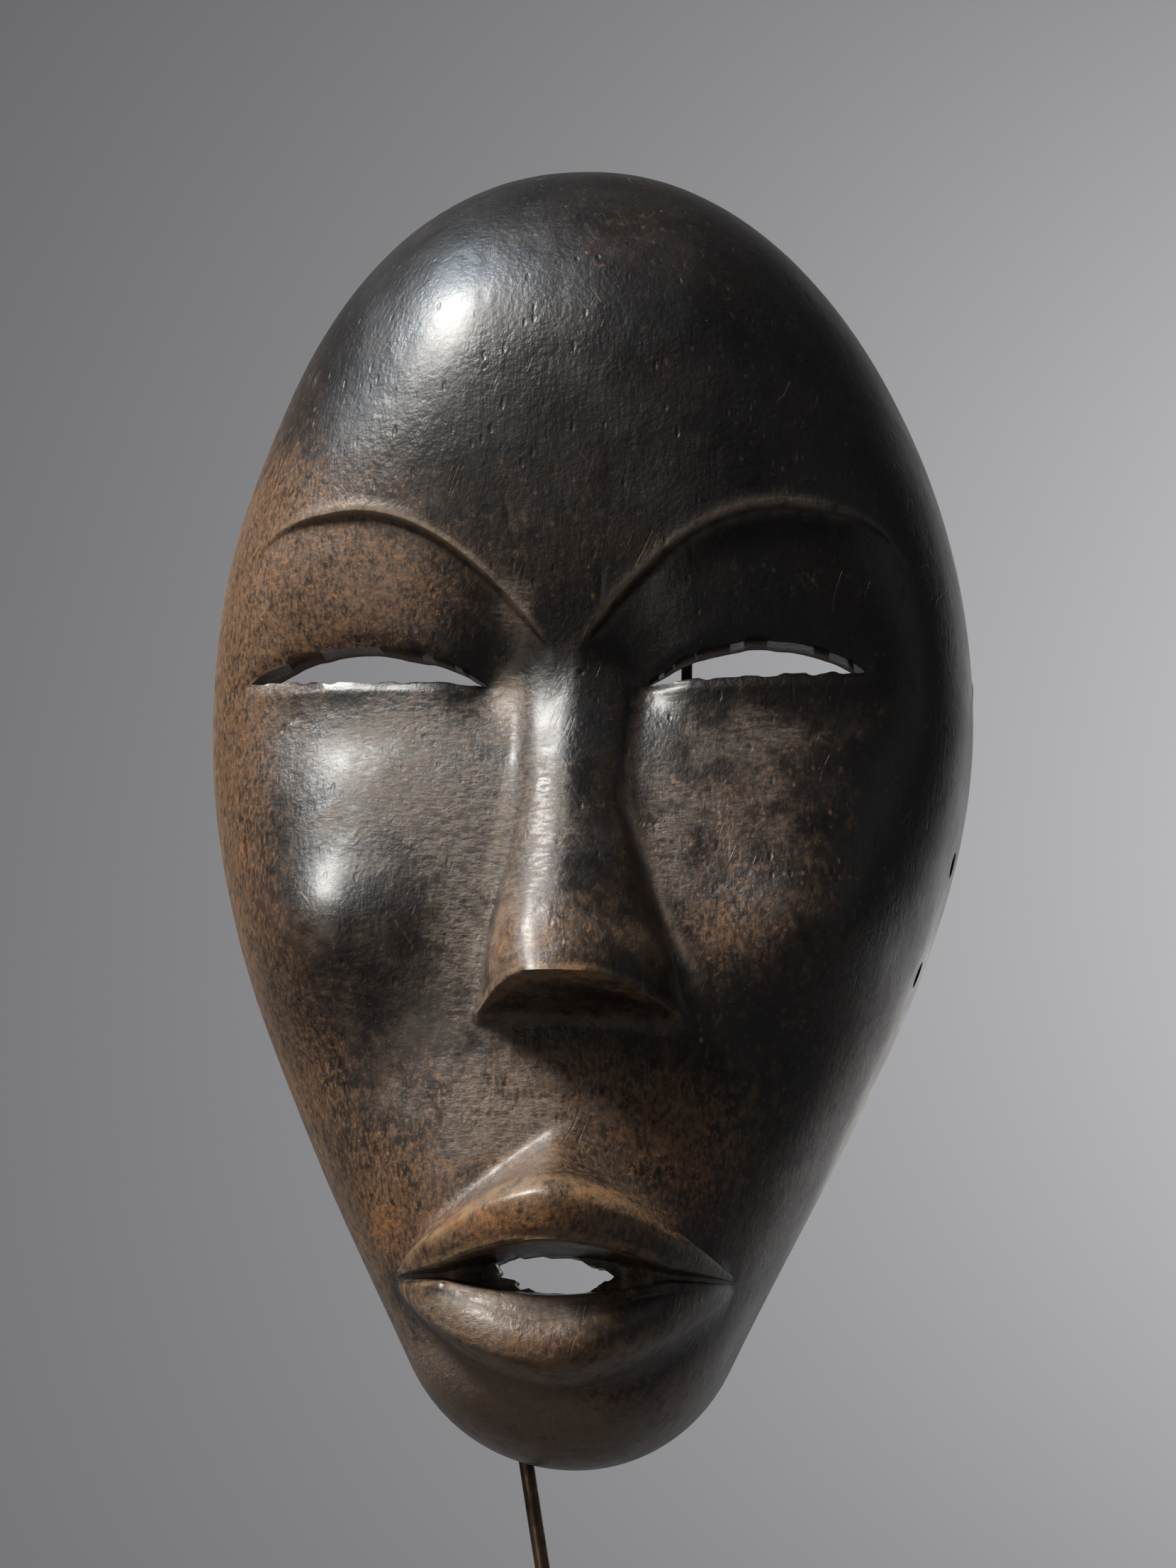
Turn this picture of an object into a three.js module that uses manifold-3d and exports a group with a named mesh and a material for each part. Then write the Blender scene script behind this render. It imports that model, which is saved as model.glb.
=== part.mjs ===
// A carved wooden face mask on its display stand: the hollow mask, the bent rod that it hangs on and the rod's foot plate.
// Millimetres, +Z up, the face looks along -Y. The origin is the middle of the foot plate's underside.
import * as THREE from "three";
import { mergeVertices } from "three/addons/utils/BufferGeometryUtils.js";
import Module from "manifold-3d";

// The mask. Heights on it count up from the chin, and depths forward from the flat back of its rim.
const MASK_HEIGHT = 235;
const MASK_WIDTH = 136;
const FACE_DEPTH = 53;
const WIDEST_HEIGHT = 130;
const CHIN_RADIUS = 30;
const JAW_TAPER = 25.5; // degrees between the jaw's edge and upright
const WALL = 7;
const RIM_WALL = 6;
const LASHING_HOLE = 4.5;

// The foot plate.
const PLATE_WIDTH = 110;
const PLATE_LENGTH = 90;
const PLATE_THICKNESS = 12;
const PLATE_CORNER = 5;
const PLATE_CHAMFER = 1;

// The rod and the wire loop brazed into its end.
const ROD = 2.6;
const WIRE = 2;
const LOOP_WIDTH = 35;
const LOOP_DEPTH = 9; // of the loop's middle plane, in front of the rim's back
const LOOP_FOOT = 42; // height of the loop's cross bar above the chin
const BRAZED_LENGTH = 16;
const BEND_DROP = 57; // from the chin down to the rod's lowest bend
const SEAT_DEPTH = 9; // of the rod in the plate
const CLEARANCE = 0.3;

// How the mask stands over the plate.
const CHIN_HEIGHT = 118;
const RIM_SETBACK = 22; // of the rim's back behind the plate's middle

// The carving is given as on a mask 235 mm tall, 136 mm wide and 53 mm deep, and follows the mask's own size.
const up = (size) => (size / 235) * MASK_HEIGHT;
const across = (size) => (size / 136) * MASK_WIDTH;
const out = (size) => (size / 53) * FACE_DEPTH;

const FOREHEAD = { swell: out(9.5), foot: up(116), top: up(180) };
const CHIN_TOP = up(60);
const SWAY = { jaw: across(1.9), jawHeight: up(15), jawSpread: up(60), crown: across(1.3), brow: across(0.6) };
const BROW = {
  peakX: across(39),
  peak: up(156.8),
  innerX: across(4),
  innerDrop: up(21.4),
  outerX: across(57),
  outerDrop: up(7),
  step: out(1.5),
  rootStep: out(1.2),
  crest: out(0.5),
  edge: up(1.4),
  lid: up(20),
};
const EYE = {
  inner: across(13.5),
  outer: across(52.5),
  lean: across(3), // by which the slits reach further out on one side
  innerHeight: up(127.9),
  outerHeight: up(130.8),
  arch: up(5.2),
  sag: up(0.5),
  band: up(128),
  bandSpread: up(14),
  bandDepth: out(3.6),
  pitX: across(13),
  pitDepth: out(2.5),
  pitWidth: across(5),
};
const CHEEK = {
  x: across(45),
  height: up(85),
  swell: out(5),
  width: across(18),
  above: up(19),
  below: up(15),
  bone: out(4),
  boneX: across(43.5),
  boneWidth: across(16),
  boneAbove: up(10),
  boneBelow: up(14),
  hollow: out(2.6),
  hollowX: across(33),
  hollowWidth: across(16),
  hollowHeight: up(66),
  hollowSpread: up(13),
};
const NOSE = {
  root: up(136),
  rootDepth: out(49.2),
  tip: up(75.9),
  tipDepth: out(70.5),
  foot: up(71.5),
  footDepth: out(54),
  ridge: across(2.6),
  tipRidge: across(6.6),
  ball: up(98),
  bridge: across(8.4),
  wing: across(10.6),
  wingTop: up(108),
  lean: across(4.4), // by which the wings stand off to one side
  drift: across(1.6),
  slope: (0.36 / across(1)) * out(1), // of the two planes in front
  lumpX: across(16),
  lumpHeight: up(80.5),
  lump: out(3),
  footWidth: across(1.5),
  sink: out(6), // by which the nose's sides run on under the cheeks
  fillet: out(3),
};
const MOUTH = {
  corner: across(27.3),
  cornerHeight: up(29.9),
  muzzle: up(24.3),
  crest: up(13.1),
  slitTop: up(3.1),
  slitFoot: up(2.5),
  lowerEdge: up(6.5),
  lowerFoot: up(17.5),
  crestDepth: out(15.5),
  lowerDepth: out(14),
  slitDepth: out(2),
  parted: 0.66, // the share of the lips from the middle that stand apart
  ridge: across(1.8), // half the round top of the lips in the middle
  roll: out(1.4),
  hole: across(9),
};
const HOLLOW = { nose: out(5), x: across(10), height: up(98), spread: up(22) };
const LASHING_HEIGHTS = [up(84.5), up(103.8)];
const LASHING_DEPTH = out(12);

const DEGREE = Math.PI / 180;
const ROD_DEPTH = -(ROD / 2 + CLEARANCE); // the rod stands just behind the rim, which leans on it

const share = (value) => Math.min(1, Math.max(0, value));
const ease = (value) => share(value) ** 2 * (3 - 2 * share(value));
const bell = (value) => Math.exp(-value * value);
const mix = (a, b, t) => a + (b - a) * t;
const dome = (s, n) => (1 - share(s) ** n) ** (1 / n);
const lens = (s, p, q) => (1 - share(s) ** p) ** q;
const blendedMax = (a, b, width) => {
  const nearness = Math.max(0, width - Math.abs(a - b)) / width;
  return Math.max(a, b) + (nearness * nearness * width) / 4;
};

// The rim's outline, right half, from crown to chin: an ellipse over the temples, a curve down the jaw and a round chin.
// An inset gives the hollow's outline instead.
function outline(inset) {
  const side = MASK_WIDTH / 2 - inset;
  const crown = MASK_HEIGHT - WIDEST_HEIGHT - inset;
  const chin = CHIN_RADIUS - inset;
  const taper = JAW_TAPER * DEGREE;
  const jaw = new THREE.Vector2(chin * Math.cos(taper), CHIN_RADIUS - chin * Math.sin(taper));
  const jawPull = (WIDEST_HEIGHT - jaw.y) * 0.31;
  const templePull = (WIDEST_HEIGHT - jaw.y) * 0.35;
  const path = new THREE.Path();
  path.absellipse(0, WIDEST_HEIGHT, side, crown, Math.PI / 2, 0, true);
  path.bezierCurveTo(
    side,
    WIDEST_HEIGHT - templePull,
    jaw.x + jawPull * Math.sin(taper),
    jaw.y + jawPull * Math.cos(taper),
    jaw.x,
    jaw.y,
  );
  path.absarc(0, CHIN_RADIUS, chin, -taper, -Math.PI / 2, true);
  return path.getSpacedPoints(600).reverse();
}

// The half width of an outline at a height, and 0 above and below it.
function halfWidthOf(points) {
  return (height) => {
    const above = points.findIndex((p) => p.y >= height);
    if (above < 1) return 0;
    const [a, b] = [points[above - 1], points[above]];
    return mix(a.x, b.x, (height - a.y) / (b.y - a.y));
  };
}
const rimHalfWidth = halfWidthOf(outline(0));
const hollowHalfWidth = halfWidthOf(outline(RIM_WALL));

// The sideways drift of the mask's middle line at a height: no side of a hand-cut mask mirrors the other.
function sway(height) {
  const jaw = SWAY.jaw * bell((height - SWAY.jawHeight) / SWAY.jawSpread);
  const crown = SWAY.crown * ease((height - up(170)) / up(60));
  return SWAY.brow * bell((height - up(140)) / up(35)) - jaw - crown;
}

// The broad form that the mask's outside and its hollow share: a domed forehead over a flatter face,
// a sunken band across the eyes, full cheekbones and hollow cheeks.
function headForm(x, height, halfWidth, rimInset, wall) {
  const width = halfWidth(height);
  if (width <= 0) return 0;
  const swell = FOREHEAD.swell * ease((height - FOREHEAD.foot) / (FOREHEAD.top - FOREHEAD.foot));
  const crown = dome((height - FOREHEAD.top) / (MASK_HEIGHT - rimInset - FOREHEAD.top), 1.95);
  const chin = dome((CHIN_TOP - height) / (CHIN_TOP - rimInset), 3.3);
  const roundness = 2.9 - 0.75 * ease((height - up(138)) / up(50)) - 0.4 * ease((up(50) - height) / up(40));
  const section = dome(Math.abs(x) / width, roundness);
  const side = Math.abs(x);
  const band =
    EYE.bandDepth *
    bell((height - EYE.band) / EYE.bandSpread) *
    (1 - ease((side - across(46)) / across(18)));
  const over = height - CHEEK.height;
  const above = over > 0;
  const fullness =
    CHEEK.swell * bell((side - CHEEK.x) / CHEEK.width) * bell(over / (above ? CHEEK.above : CHEEK.below));
  const cheekbone =
    CHEEK.bone *
    bell((side - CHEEK.boneX) / CHEEK.boneWidth) *
    bell(over / (above ? CHEEK.boneAbove : CHEEK.boneBelow));
  const cheekHollow =
    CHEEK.hollow *
    bell((side - CHEEK.hollowX) / CHEEK.hollowWidth) *
    bell((height - CHEEK.hollowHeight) / CHEEK.hollowSpread);
  const relief = (fullness + cheekbone - band - cheekHollow) * section;
  return Math.max(0, (FACE_DEPTH + swell - wall) * crown * chin * section + relief * crown * chin);
}

// The brow's edge, as a height at a distance from the middle of the face.
function browHeight(side) {
  return side < BROW.peakX
    ? BROW.peak - BROW.innerDrop * ((BROW.peakX - side) / (BROW.peakX - BROW.innerX)) ** 2
    : BROW.peak - BROW.outerDrop * ((side - BROW.peakX) / (BROW.outerX - BROW.peakX)) ** 4;
}

// The forehead ends in a fine crest, and the eye's field lies a step behind it.
function browRelief(side, height) {
  const below = browHeight(side) - height;
  const fade = ease((BROW.outerX + across(3) - side) / across(22)) * ease((side - across(1.5)) / across(6.5));
  const step = BROW.step + BROW.rootStep * bell((side - across(11)) / across(6));
  const lid = 1 - 0.65 * ease(below / BROW.lid);
  const crest = BROW.crest * bell((below + BROW.edge / 3) / BROW.edge);
  const pit = EYE.pitDepth * bell((side - EYE.pitX) / EYE.pitWidth) * bell((height - EYE.innerHeight) / up(6));
  return fade * (crest - step * ease(below / BROW.edge) * lid * ease((height - up(100)) / up(22))) - pit;
}

// The half widths of the nose's ridge and of its foot on one side at a height.
function noseLines(side, height) {
  const fall = share((NOSE.root - height) / (NOSE.root - NOSE.tip));
  const ball = ease((NOSE.ball - height) / (NOSE.ball - NOSE.tip));
  const spread = share((NOSE.wingTop - height) / (NOSE.wingTop - NOSE.foot)) ** 1.15;
  return {
    ridge: mix(NOSE.ridge, NOSE.tipRidge, 0.35 * fall + 0.65 * ball),
    foot: NOSE.bridge + (NOSE.wing + Math.sign(side) * NOSE.lean) * spread,
  };
}

// How far the nose's bridge stands to the right of the face's middle.
const noseDrift = (height) => NOSE.drift * ease((height - NOSE.tip) / up(30)) * ease((up(175) - height) / up(35));

// The nose without its underside: two broad planes that meet in a rounded ridge and turn down into steep sides.
function noseRidge(x, height) {
  const fall = share((NOSE.root - height) / (NOSE.root - NOSE.tip));
  const rise = mix(NOSE.rootDepth, NOSE.tipDepth, fall ** 1.2);
  const sunk = 1.6 * Math.max(0, height - NOSE.root);
  const away = x - noseDrift(height);
  const { ridge, foot } = noseLines(away, height);
  const plane = NOSE.slope * (Math.hypot(away, 0.8 * ridge) - 0.8 * ridge);
  const reach = Math.abs(away) / (foot + NOSE.footWidth);
  const flank = 1 - lens(reach, 9 - 6 * fall ** 2, 1 + 0.2 * fall) + 2 * Math.max(0, reach - 1);
  const lump = NOSE.lump * bell((x - NOSE.lumpX) / across(4.5)) * bell((height - NOSE.lumpHeight) / up(5));
  return rise - plane - (rise - NOSE.footDepth + NOSE.sink) * flank - sunk + lump;
}

// The nose's front stops at a flat underside that slopes back to the face.
function noseDepth(x, height) {
  const slope = (NOSE.tipDepth - NOSE.footDepth) / (NOSE.tip - NOSE.foot);
  return Math.min(noseRidge(x, height), NOSE.footDepth + (height - NOSE.foot) * slope);
}

// The height of the edge between the nose's front and its underside.
function noseEdge(x) {
  const { ridge, foot } = noseLines(x, NOSE.tip);
  const front = share(1 - (Math.abs(x) - ridge) / (foot - ridge));
  return mix(NOSE.foot + up(0.3), NOSE.tip, front);
}

// The lines that the lips follow across the mouth, as heights at a distance from its middle.
function mouthLines(side) {
  const u = share(Math.hypot(side, MOUTH.ridge) / MOUTH.corner);
  const apart = share(u / MOUTH.parted);
  const middle = MOUTH.cornerHeight;
  return {
    muzzle: middle + up(1.3) + (MOUTH.muzzle - up(1.3)) * lens(u, 1, 1.05),
    crest: middle + up(0.8) + (MOUTH.crest - up(0.8)) * lens(u, 1.7, 0.9),
    slitTop: middle + up(0.3) + (MOUTH.slitTop - up(0.3)) * lens(apart, 1.9, 1),
    slitFoot: middle - up(0.3) - (MOUTH.slitFoot - up(0.3)) * lens(apart, 1.9, 1),
    lowerEdge: middle - up(0.8) - (MOUTH.lowerEdge - up(0.8)) * lens(u, 1.5, 1.6),
    lowerFoot: middle - up(1.3) - (MOUTH.lowerFoot - up(1.3)) * lens(u, 1.7, 0.85),
  };
}

// The lips stand out from the face: a muzzle rising to the upper lip's crest, two rolled lips and a slit between them.
function mouthRelief(side, height) {
  if (side >= MOUTH.corner) return 0;
  const at = mouthLines(side);
  const u = share(Math.hypot(side, MOUTH.ridge) / MOUTH.corner);
  const upper = MOUTH.crestDepth * lens(u, 1.5, 0.9);
  const lower = MOUTH.lowerDepth * lens(u, 1.9, 0.8);
  const slit = mix(-MOUTH.slitDepth, 0.4 * upper, ease((u - 0.36) / 0.28));
  const between = (low, high) => share((height - low) / Math.max(high - low, 1e-6));
  const roll = MOUTH.roll * lens(u, 2, 1);
  if (height >= at.crest) return upper * (1 - between(at.crest, at.muzzle)) ** 1.3;
  if (height >= at.slitTop) {
    const t = between(at.slitTop, at.crest);
    return mix(slit, upper * 0.88, ease(t / 0.16)) + (upper * 0.12 + roll * 4 * t * (1 - t)) * t ** 0.7;
  }
  if (height >= at.slitFoot) return slit;
  if (height >= at.lowerEdge) {
    const t = between(at.lowerEdge, at.slitFoot);
    return mix(slit, lower * (0.7 - 0.22 * t), ease((1 - t) / 0.3));
  }
  if (height >= at.lowerFoot) {
    const t = 1 - between(at.lowerFoot, at.lowerEdge);
    const full = t < 0.66 ? 1 - 0.3 * (1 - t / 0.66) ** 2 : 0.2 + 0.8 * lens((t - 0.66) / 0.34, 2.2, 0.7);
    return (lower + roll) * full - roll * (1 - t) * 0.9;
  }
  const under = at.lowerFoot - height;
  return lower * 0.2 * (1 - ease(under / up(1.4))) - (roll / 1.4) * bell((under - up(2)) / up(2.5));
}

function faceDepth(x, height) {
  const side = Math.abs(x);
  const form = headForm(x - sway(height), height, rimHalfWidth, 0, 0);
  const carved = form + browRelief(side, height) * share(form / out(20)) + mouthRelief(side, height);
  return Math.max(0, blendedMax(carved, noseDepth(x, height), NOSE.fillet));
}

function hollowDepth(x, height) {
  const nose = HOLLOW.nose * bell(x / HOLLOW.x) * bell((height - HOLLOW.height) / HOLLOW.spread);
  const form = headForm(x - sway(height), height, hollowHalfWidth, RIM_WALL, WALL);
  return form + nose * share(form / out(20));
}

// The heights that the face's rows pass through, from chin to crown, with the rows between each and the next.
function rowLines(x) {
  const lips = mouthLines(Math.abs(x));
  const brow = browHeight(Math.min(Math.max(Math.abs(x), BROW.innerX), BROW.outerX));
  return [
    [0, 5],
    [up(8), 2],
    [lips.lowerFoot, 4],
    [lips.lowerEdge, 2],
    [lips.slitFoot, 1],
    [lips.slitTop, 1],
    [mix(lips.slitTop, lips.crest, 0.16), 3],
    [lips.crest, 2],
    [lips.muzzle, 5],
    [NOSE.foot, 1],
    [noseEdge(x), 4],
    [up(88), 6],
    [up(121), 4],
    [up(128), 3],
    [brow - BROW.edge, 1],
    [brow, 4],
    [up(182), 5],
    [up(226), 5],
    [MASK_HEIGHT, 0],
  ];
}

// The height of a row at a distance across. The end rows crowd towards the rim, where the form turns fast.
function rowHeight(row, x) {
  const lines = rowLines(x);
  let k = 0;
  while (k < lines.length - 2 && row > lines[k][1]) row -= lines[k++][1];
  const t = row / lines[k][1];
  if (k === 0) return mix(lines[0][0], lines[1][0], t * t);
  if (k === lines.length - 2) return mix(lines[k][0], lines[k + 1][0], 1 - (1 - t) ** 2);
  return mix(lines[k][0], lines[k + 1][0], t);
}

// The distances across that the face's columns pass through on one side: the ridge and foot of the nose, and the rim.
const RIDGE_COLUMNS = 2;
const FLANK_COLUMNS = 4;
const CHEEK_COLUMNS = 12;
function columnAcross(column, side, height) {
  const rim = rimHalfWidth(height);
  const above = ease((height - EYE.innerHeight) / up(80));
  const nose = noseLines(side, height);
  const foot = Math.min(mix(nose.foot, across(22), above), rim * 0.45);
  const ridge = Math.min(mix(nose.ridge, across(7), above), foot * 0.4);
  if (column <= RIDGE_COLUMNS) return (ridge * column) / RIDGE_COLUMNS;
  if (column <= RIDGE_COLUMNS + FLANK_COLUMNS) return mix(ridge, foot, (column - RIDGE_COLUMNS) / FLANK_COLUMNS);
  const t = (column - RIDGE_COLUMNS - FLANK_COLUMNS) / CHEEK_COLUMNS;
  return mix(foot, rim, 0.45 * t + 0.55 * Math.sin((t * Math.PI) / 2));
}

// A sheet is drawn out into a face and closed by a flat back. Each row is a row of columns from rim to rim.
function shaped(columns, rows, heightOf, acrossOf, depthAt, backDepth) {
  const sheet = new THREE.PlaneGeometry(1, 1, 2 * columns, rows);
  const { position } = sheet.attributes;
  for (let i = 0; i < position.count; i++) {
    const column = (i % (2 * columns + 1)) - columns;
    const row = rows - Math.floor(i / (2 * columns + 1));
    const side = Math.sign(column);
    let [x, height] = [0, 0];
    for (let pass = 0; pass < 12; pass++) {
      height = heightOf(row, x);
      const reach = acrossOf(Math.abs(column), side, height);
      x = side * reach + sway(height) + noseDrift(height) * ease((across(50) - reach) / across(36));
    }
    const depth = Math.abs(column) === columns ? backDepth : Math.max(0, depthAt(x, height));
    position.setXYZ(i, x, -depth, height);
  }
  const corner = (column, row) => (rows - row) * (2 * columns + 1) + column + columns;
  const faces = [];
  for (let row = 0; row < rows; row++) {
    for (let column = -columns; column < columns; column++) {
      const [a, b] = [corner(column, row), corner(column + 1, row)];
      const [c, d] = [corner(column + 1, row + 1), corner(column, row + 1)];
      if (column < 0) faces.push(a, b, c, a, c, d);
      else faces.push(a, b, d, b, c, d);
    }
    const [left, right] = [corner(-columns, row), corner(columns, row)];
    const [nextLeft, nextRight] = [corner(-columns, row + 1), corner(columns, row + 1)];
    faces.push(left, nextRight, right, left, nextLeft, nextRight);
  }
  sheet.setIndex(faces);
  return sheet;
}

const wasm = await Module();
wasm.setup();

// A closed geometry as a solid that can be cut and joined, and back.
function solid(geometry) {
  const bare = (geometry.index ? geometry.toNonIndexed() : geometry.clone()).deleteAttribute("normal").deleteAttribute("uv");
  const merged = mergeVertices(bare, 1e-4);
  const corners = [];
  for (let i = 0; i < merged.index.count; i += 3) {
    const [a, b, c] = [0, 1, 2].map((k) => merged.index.getX(i + k));
    if (a !== b && b !== c && c !== a) corners.push(a, b, c);
  }
  return new wasm.Manifold(
    new wasm.Mesh({
      numProp: 3,
      vertProperties: merged.attributes.position.array,
      triVerts: new Uint32Array(corners),
    }),
  );
}

function geometryOf(manifold) {
  const { vertProperties, triVerts } = manifold.getMesh();
  const geometry = new THREE.BufferGeometry()
    .setAttribute("position", new THREE.BufferAttribute(vertProperties, 3))
    .setIndex(new THREE.BufferAttribute(triVerts, 1));
  geometry.computeVertexNormals();
  return geometry;
}

// A bar of the given outline that runs straight through the mask's wall.
function throughBar(points, backDepth, frontDepth) {
  const shape = new THREE.Shape(points);
  const bar = new THREE.ExtrudeGeometry(shape, { depth: frontDepth - backDepth, bevelEnabled: false });
  return bar.rotateX(Math.PI / 2).translate(0, -backDepth, 0);
}

// The eye's slit: a low arch over a nearly straight lower lid.
function eyeSlit(side) {
  const lid = (t, rise) => {
    const x = mix(EYE.inner, EYE.outer - side * EYE.lean, t);
    return new THREE.Vector2(side * x, mix(EYE.innerHeight, EYE.outerHeight, t) + rise * Math.sin(Math.PI * t) ** 0.75);
  };
  const steps = [...Array(15).keys()].map((k) => k / 14);
  const points = [...steps.map((t) => lid(t, EYE.arch)), ...steps.slice(1, -1).reverse().map((t) => lid(t, -EYE.sag))];
  return throughBar(side > 0 ? points.reverse() : points, out(15), out(75));
}

// The ragged hole in the middle of the mouth's slit, where the carver broke through into the hollow.
function mouthHole() {
  const top = mouthLines(0).slitTop + up(0.2);
  const foot = mouthLines(0).slitFoot - up(0.2);
  const middle = MOUTH.cornerHeight;
  const corners = [
    [-1, mix(middle, top, 0.75)],
    [-0.55, top],
    [0.15, top],
    [0.62, mix(middle, top, 0.6)],
    [1, middle],
    [0.66, mix(middle, foot, 0.72)],
    [0.4, foot],
    [-0.2, foot],
    [-0.62, mix(middle, foot, 0.8)],
    [-0.8, mix(middle, foot, 0.3)],
  ].map(([s, height]) => new THREE.Vector2(s * MOUTH.hole, height));
  return throughBar(corners.reverse(), out(20), out(80));
}

// A lashing hole goes through the side wall near the rim, square to it in plan.
function lashingHole(side, height) {
  const reach = rimHalfWidth(height);
  const bore = new THREE.CylinderGeometry(LASHING_HOLE / 2, LASHING_HOLE / 2, 4 * RIM_WALL, 16);
  return bore.rotateZ(Math.PI / 2).translate(side * reach + sway(height), -LASHING_DEPTH, height);
}

function mask() {
  const faceRows = rowLines(0).reduce((sum, [, rows]) => sum + rows, 0);
  const faceColumns = RIDGE_COLUMNS + FLANK_COLUMNS + CHEEK_COLUMNS;
  const blank = shaped(faceColumns, faceRows, rowHeight, columnAcross, faceDepth, 0);
  const rows = 26;
  const columns = 11;
  const hollowHeight = (row) =>
    mix(RIM_WALL, MASK_HEIGHT - RIM_WALL, (1 - Math.cos((Math.PI * row) / rows)) / 2);
  const hollowAcross = (column, side, height) =>
    hollowHalfWidth(height) * Math.sin(share(column / (columns - 1)) * (Math.PI / 2));
  const hollow = shaped(columns, rows, hollowHeight, hollowAcross, hollowDepth, -WALL);
  let carved = solid(blank).subtract(solid(hollow));
  for (const side of [-1, 1]) {
    carved = carved.subtract(solid(eyeSlit(side)));
    for (const height of LASHING_HEIGHTS) carved = carved.subtract(solid(lashingHole(side, height)));
  }
  return carved.subtract(solid(mouthHole()));
}

// A round bar along a bent path. Points are x, depth and height on the mask, and each corner is eased over the bend.
function bar(diameter, points, bend, sides) {
  const places = points.map(([x, depth, height]) => new THREE.Vector3(x, -depth, height));
  const path = new THREE.CurvePath();
  let from = places[0];
  for (let k = 1; k < places.length - 1; k++) {
    const corner = places[k];
    const before = corner.clone().add(from.clone().sub(corner).setLength(bend));
    const after = corner.clone().add(places[k + 1].clone().sub(corner).setLength(bend));
    path.add(new THREE.LineCurve3(from, before));
    path.add(new THREE.QuadraticBezierCurve3(before, corner, after));
    from = after;
  }
  path.add(new THREE.LineCurve3(from, places[places.length - 1]));
  const middles = path.getPoints(5);
  const sheet = new THREE.PlaneGeometry(1, 1, sides, middles.length + 1);
  const last = middles.length - 1;
  for (let i = 0; i < sheet.attributes.position.count; i++) {
    const ring = Math.floor(i / (sides + 1)) - 1;
    const k = Math.min(Math.max(ring, 0), last);
    const along = middles[Math.min(k + 1, last)].clone().sub(middles[Math.max(k - 1, 0)]).normalize();
    const front = new THREE.Vector3(0, -1, 0).addScaledVector(along, along.y).normalize();
    const beside = front.clone().cross(along);
    const angle = (2 * Math.PI * (i % (sides + 1))) / sides;
    const radius = ring < 0 || ring > last ? 0 : diameter / 2;
    const at = middles[k].clone();
    at.addScaledVector(front, radius * Math.cos(angle)).addScaledVector(beside, radius * Math.sin(angle));
    sheet.attributes.position.setXYZ(i, at.x, at.y, at.z);
  }
  return sheet;
}

// The height under the hollow's crown at a depth: what hangs the mask on the loop.
function crownInside(depth) {
  let [low, high] = [FOREHEAD.top, MASK_HEIGHT - RIM_WALL];
  for (let k = 0; k < 40; k++) {
    const middle = (low + high) / 2;
    if (hollowDepth(0, middle) > depth) low = middle;
    else high = middle;
  }
  return low;
}

const plateTop = PLATE_THICKNESS - CHIN_HEIGHT;
const rodFoot = plateTop - SEAT_DEPTH + CLEARANCE;

// The stand's rod rises from the plate behind the chin, leans to one side into the hollow, and ends in the upright wire loop.
function rod() {
  const leg = LOOP_WIDTH / 2;
  const bendHeight = -BEND_DROP;
  const entry = RIM_WALL + CHIN_RADIUS / 3;
  const leanAt = (height) => (-leg * (height - bendHeight)) / (LOOP_FOOT - bendHeight);
  const stem = bar(
    ROD,
    [
      [0, ROD_DEPTH, rodFoot],
      [0, ROD_DEPTH, bendHeight],
      [leanAt(entry), ROD_DEPTH, entry],
      [-leg, LOOP_DEPTH, LOOP_FOOT],
      [-leg, LOOP_DEPTH, LOOP_FOOT + BRAZED_LENGTH],
    ],
    ROD * 3,
    12,
  );
  const loopTop = crownInside(LOOP_DEPTH - WIRE / 2) - WIRE / 2 - CLEARANCE;
  const arch = [...Array(7).keys()].map((k) => {
    const angle = Math.PI * (1 - k / 6);
    return [leg * Math.cos(angle), LOOP_DEPTH, loopTop - leg + leg * Math.sin(angle)];
  });
  const loop = bar(
    WIRE,
    [[-leg, LOOP_DEPTH, LOOP_FOOT + BRAZED_LENGTH / 2], ...arch, [leg, LOOP_DEPTH, LOOP_FOOT], [-leg, LOOP_DEPTH, LOOP_FOOT]],
    leg / 6,
    8,
  );
  return solid(stem).add(solid(loop));
}

// The foot plate: a rounded slab with a chamfered edge and the rod's blind hole.
function plate() {
  const [x, y, r] = [PLATE_WIDTH / 2 - PLATE_CHAMFER, PLATE_LENGTH / 2 - PLATE_CHAMFER, PLATE_CORNER - PLATE_CHAMFER];
  const slab = new THREE.Shape()
    .moveTo(-x + r, -y)
    .lineTo(x - r, -y)
    .absarc(x - r, -y + r, r, -Math.PI / 2, 0)
    .lineTo(x, y - r)
    .absarc(x - r, y - r, r, 0, Math.PI / 2)
    .lineTo(-x + r, y)
    .absarc(-x + r, y - r, r, Math.PI / 2, Math.PI)
    .lineTo(-x, -y + r)
    .absarc(-x + r, -y + r, r, Math.PI, 1.5 * Math.PI);
  const body = new THREE.ExtrudeGeometry(slab, {
    depth: PLATE_THICKNESS - 2 * PLATE_CHAMFER,
    bevelThickness: PLATE_CHAMFER,
    bevelSize: PLATE_CHAMFER,
    bevelSegments: 1,
    curveSegments: 6,
  }).translate(0, 0, PLATE_CHAMFER);
  const radius = ROD / 2 + CLEARANCE;
  const bore = new THREE.CylinderGeometry(radius, radius, 2 * SEAT_DEPTH, 16)
    .rotateX(Math.PI / 2)
    .translate(0, RIM_SETBACK - ROD_DEPTH, PLATE_THICKNESS);
  return solid(body).subtract(solid(bore));
}

// Places a piece given in the mask's own measures over the plate.
function overPlate(mesh) {
  mesh.position.set(0, RIM_SETBACK, CHIN_HEIGHT);
  return mesh;
}

function piece(name, manifold, material) {
  const mesh = new THREE.Mesh(geometryOf(manifold), material);
  mesh.name = name;
  return mesh;
}

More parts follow.
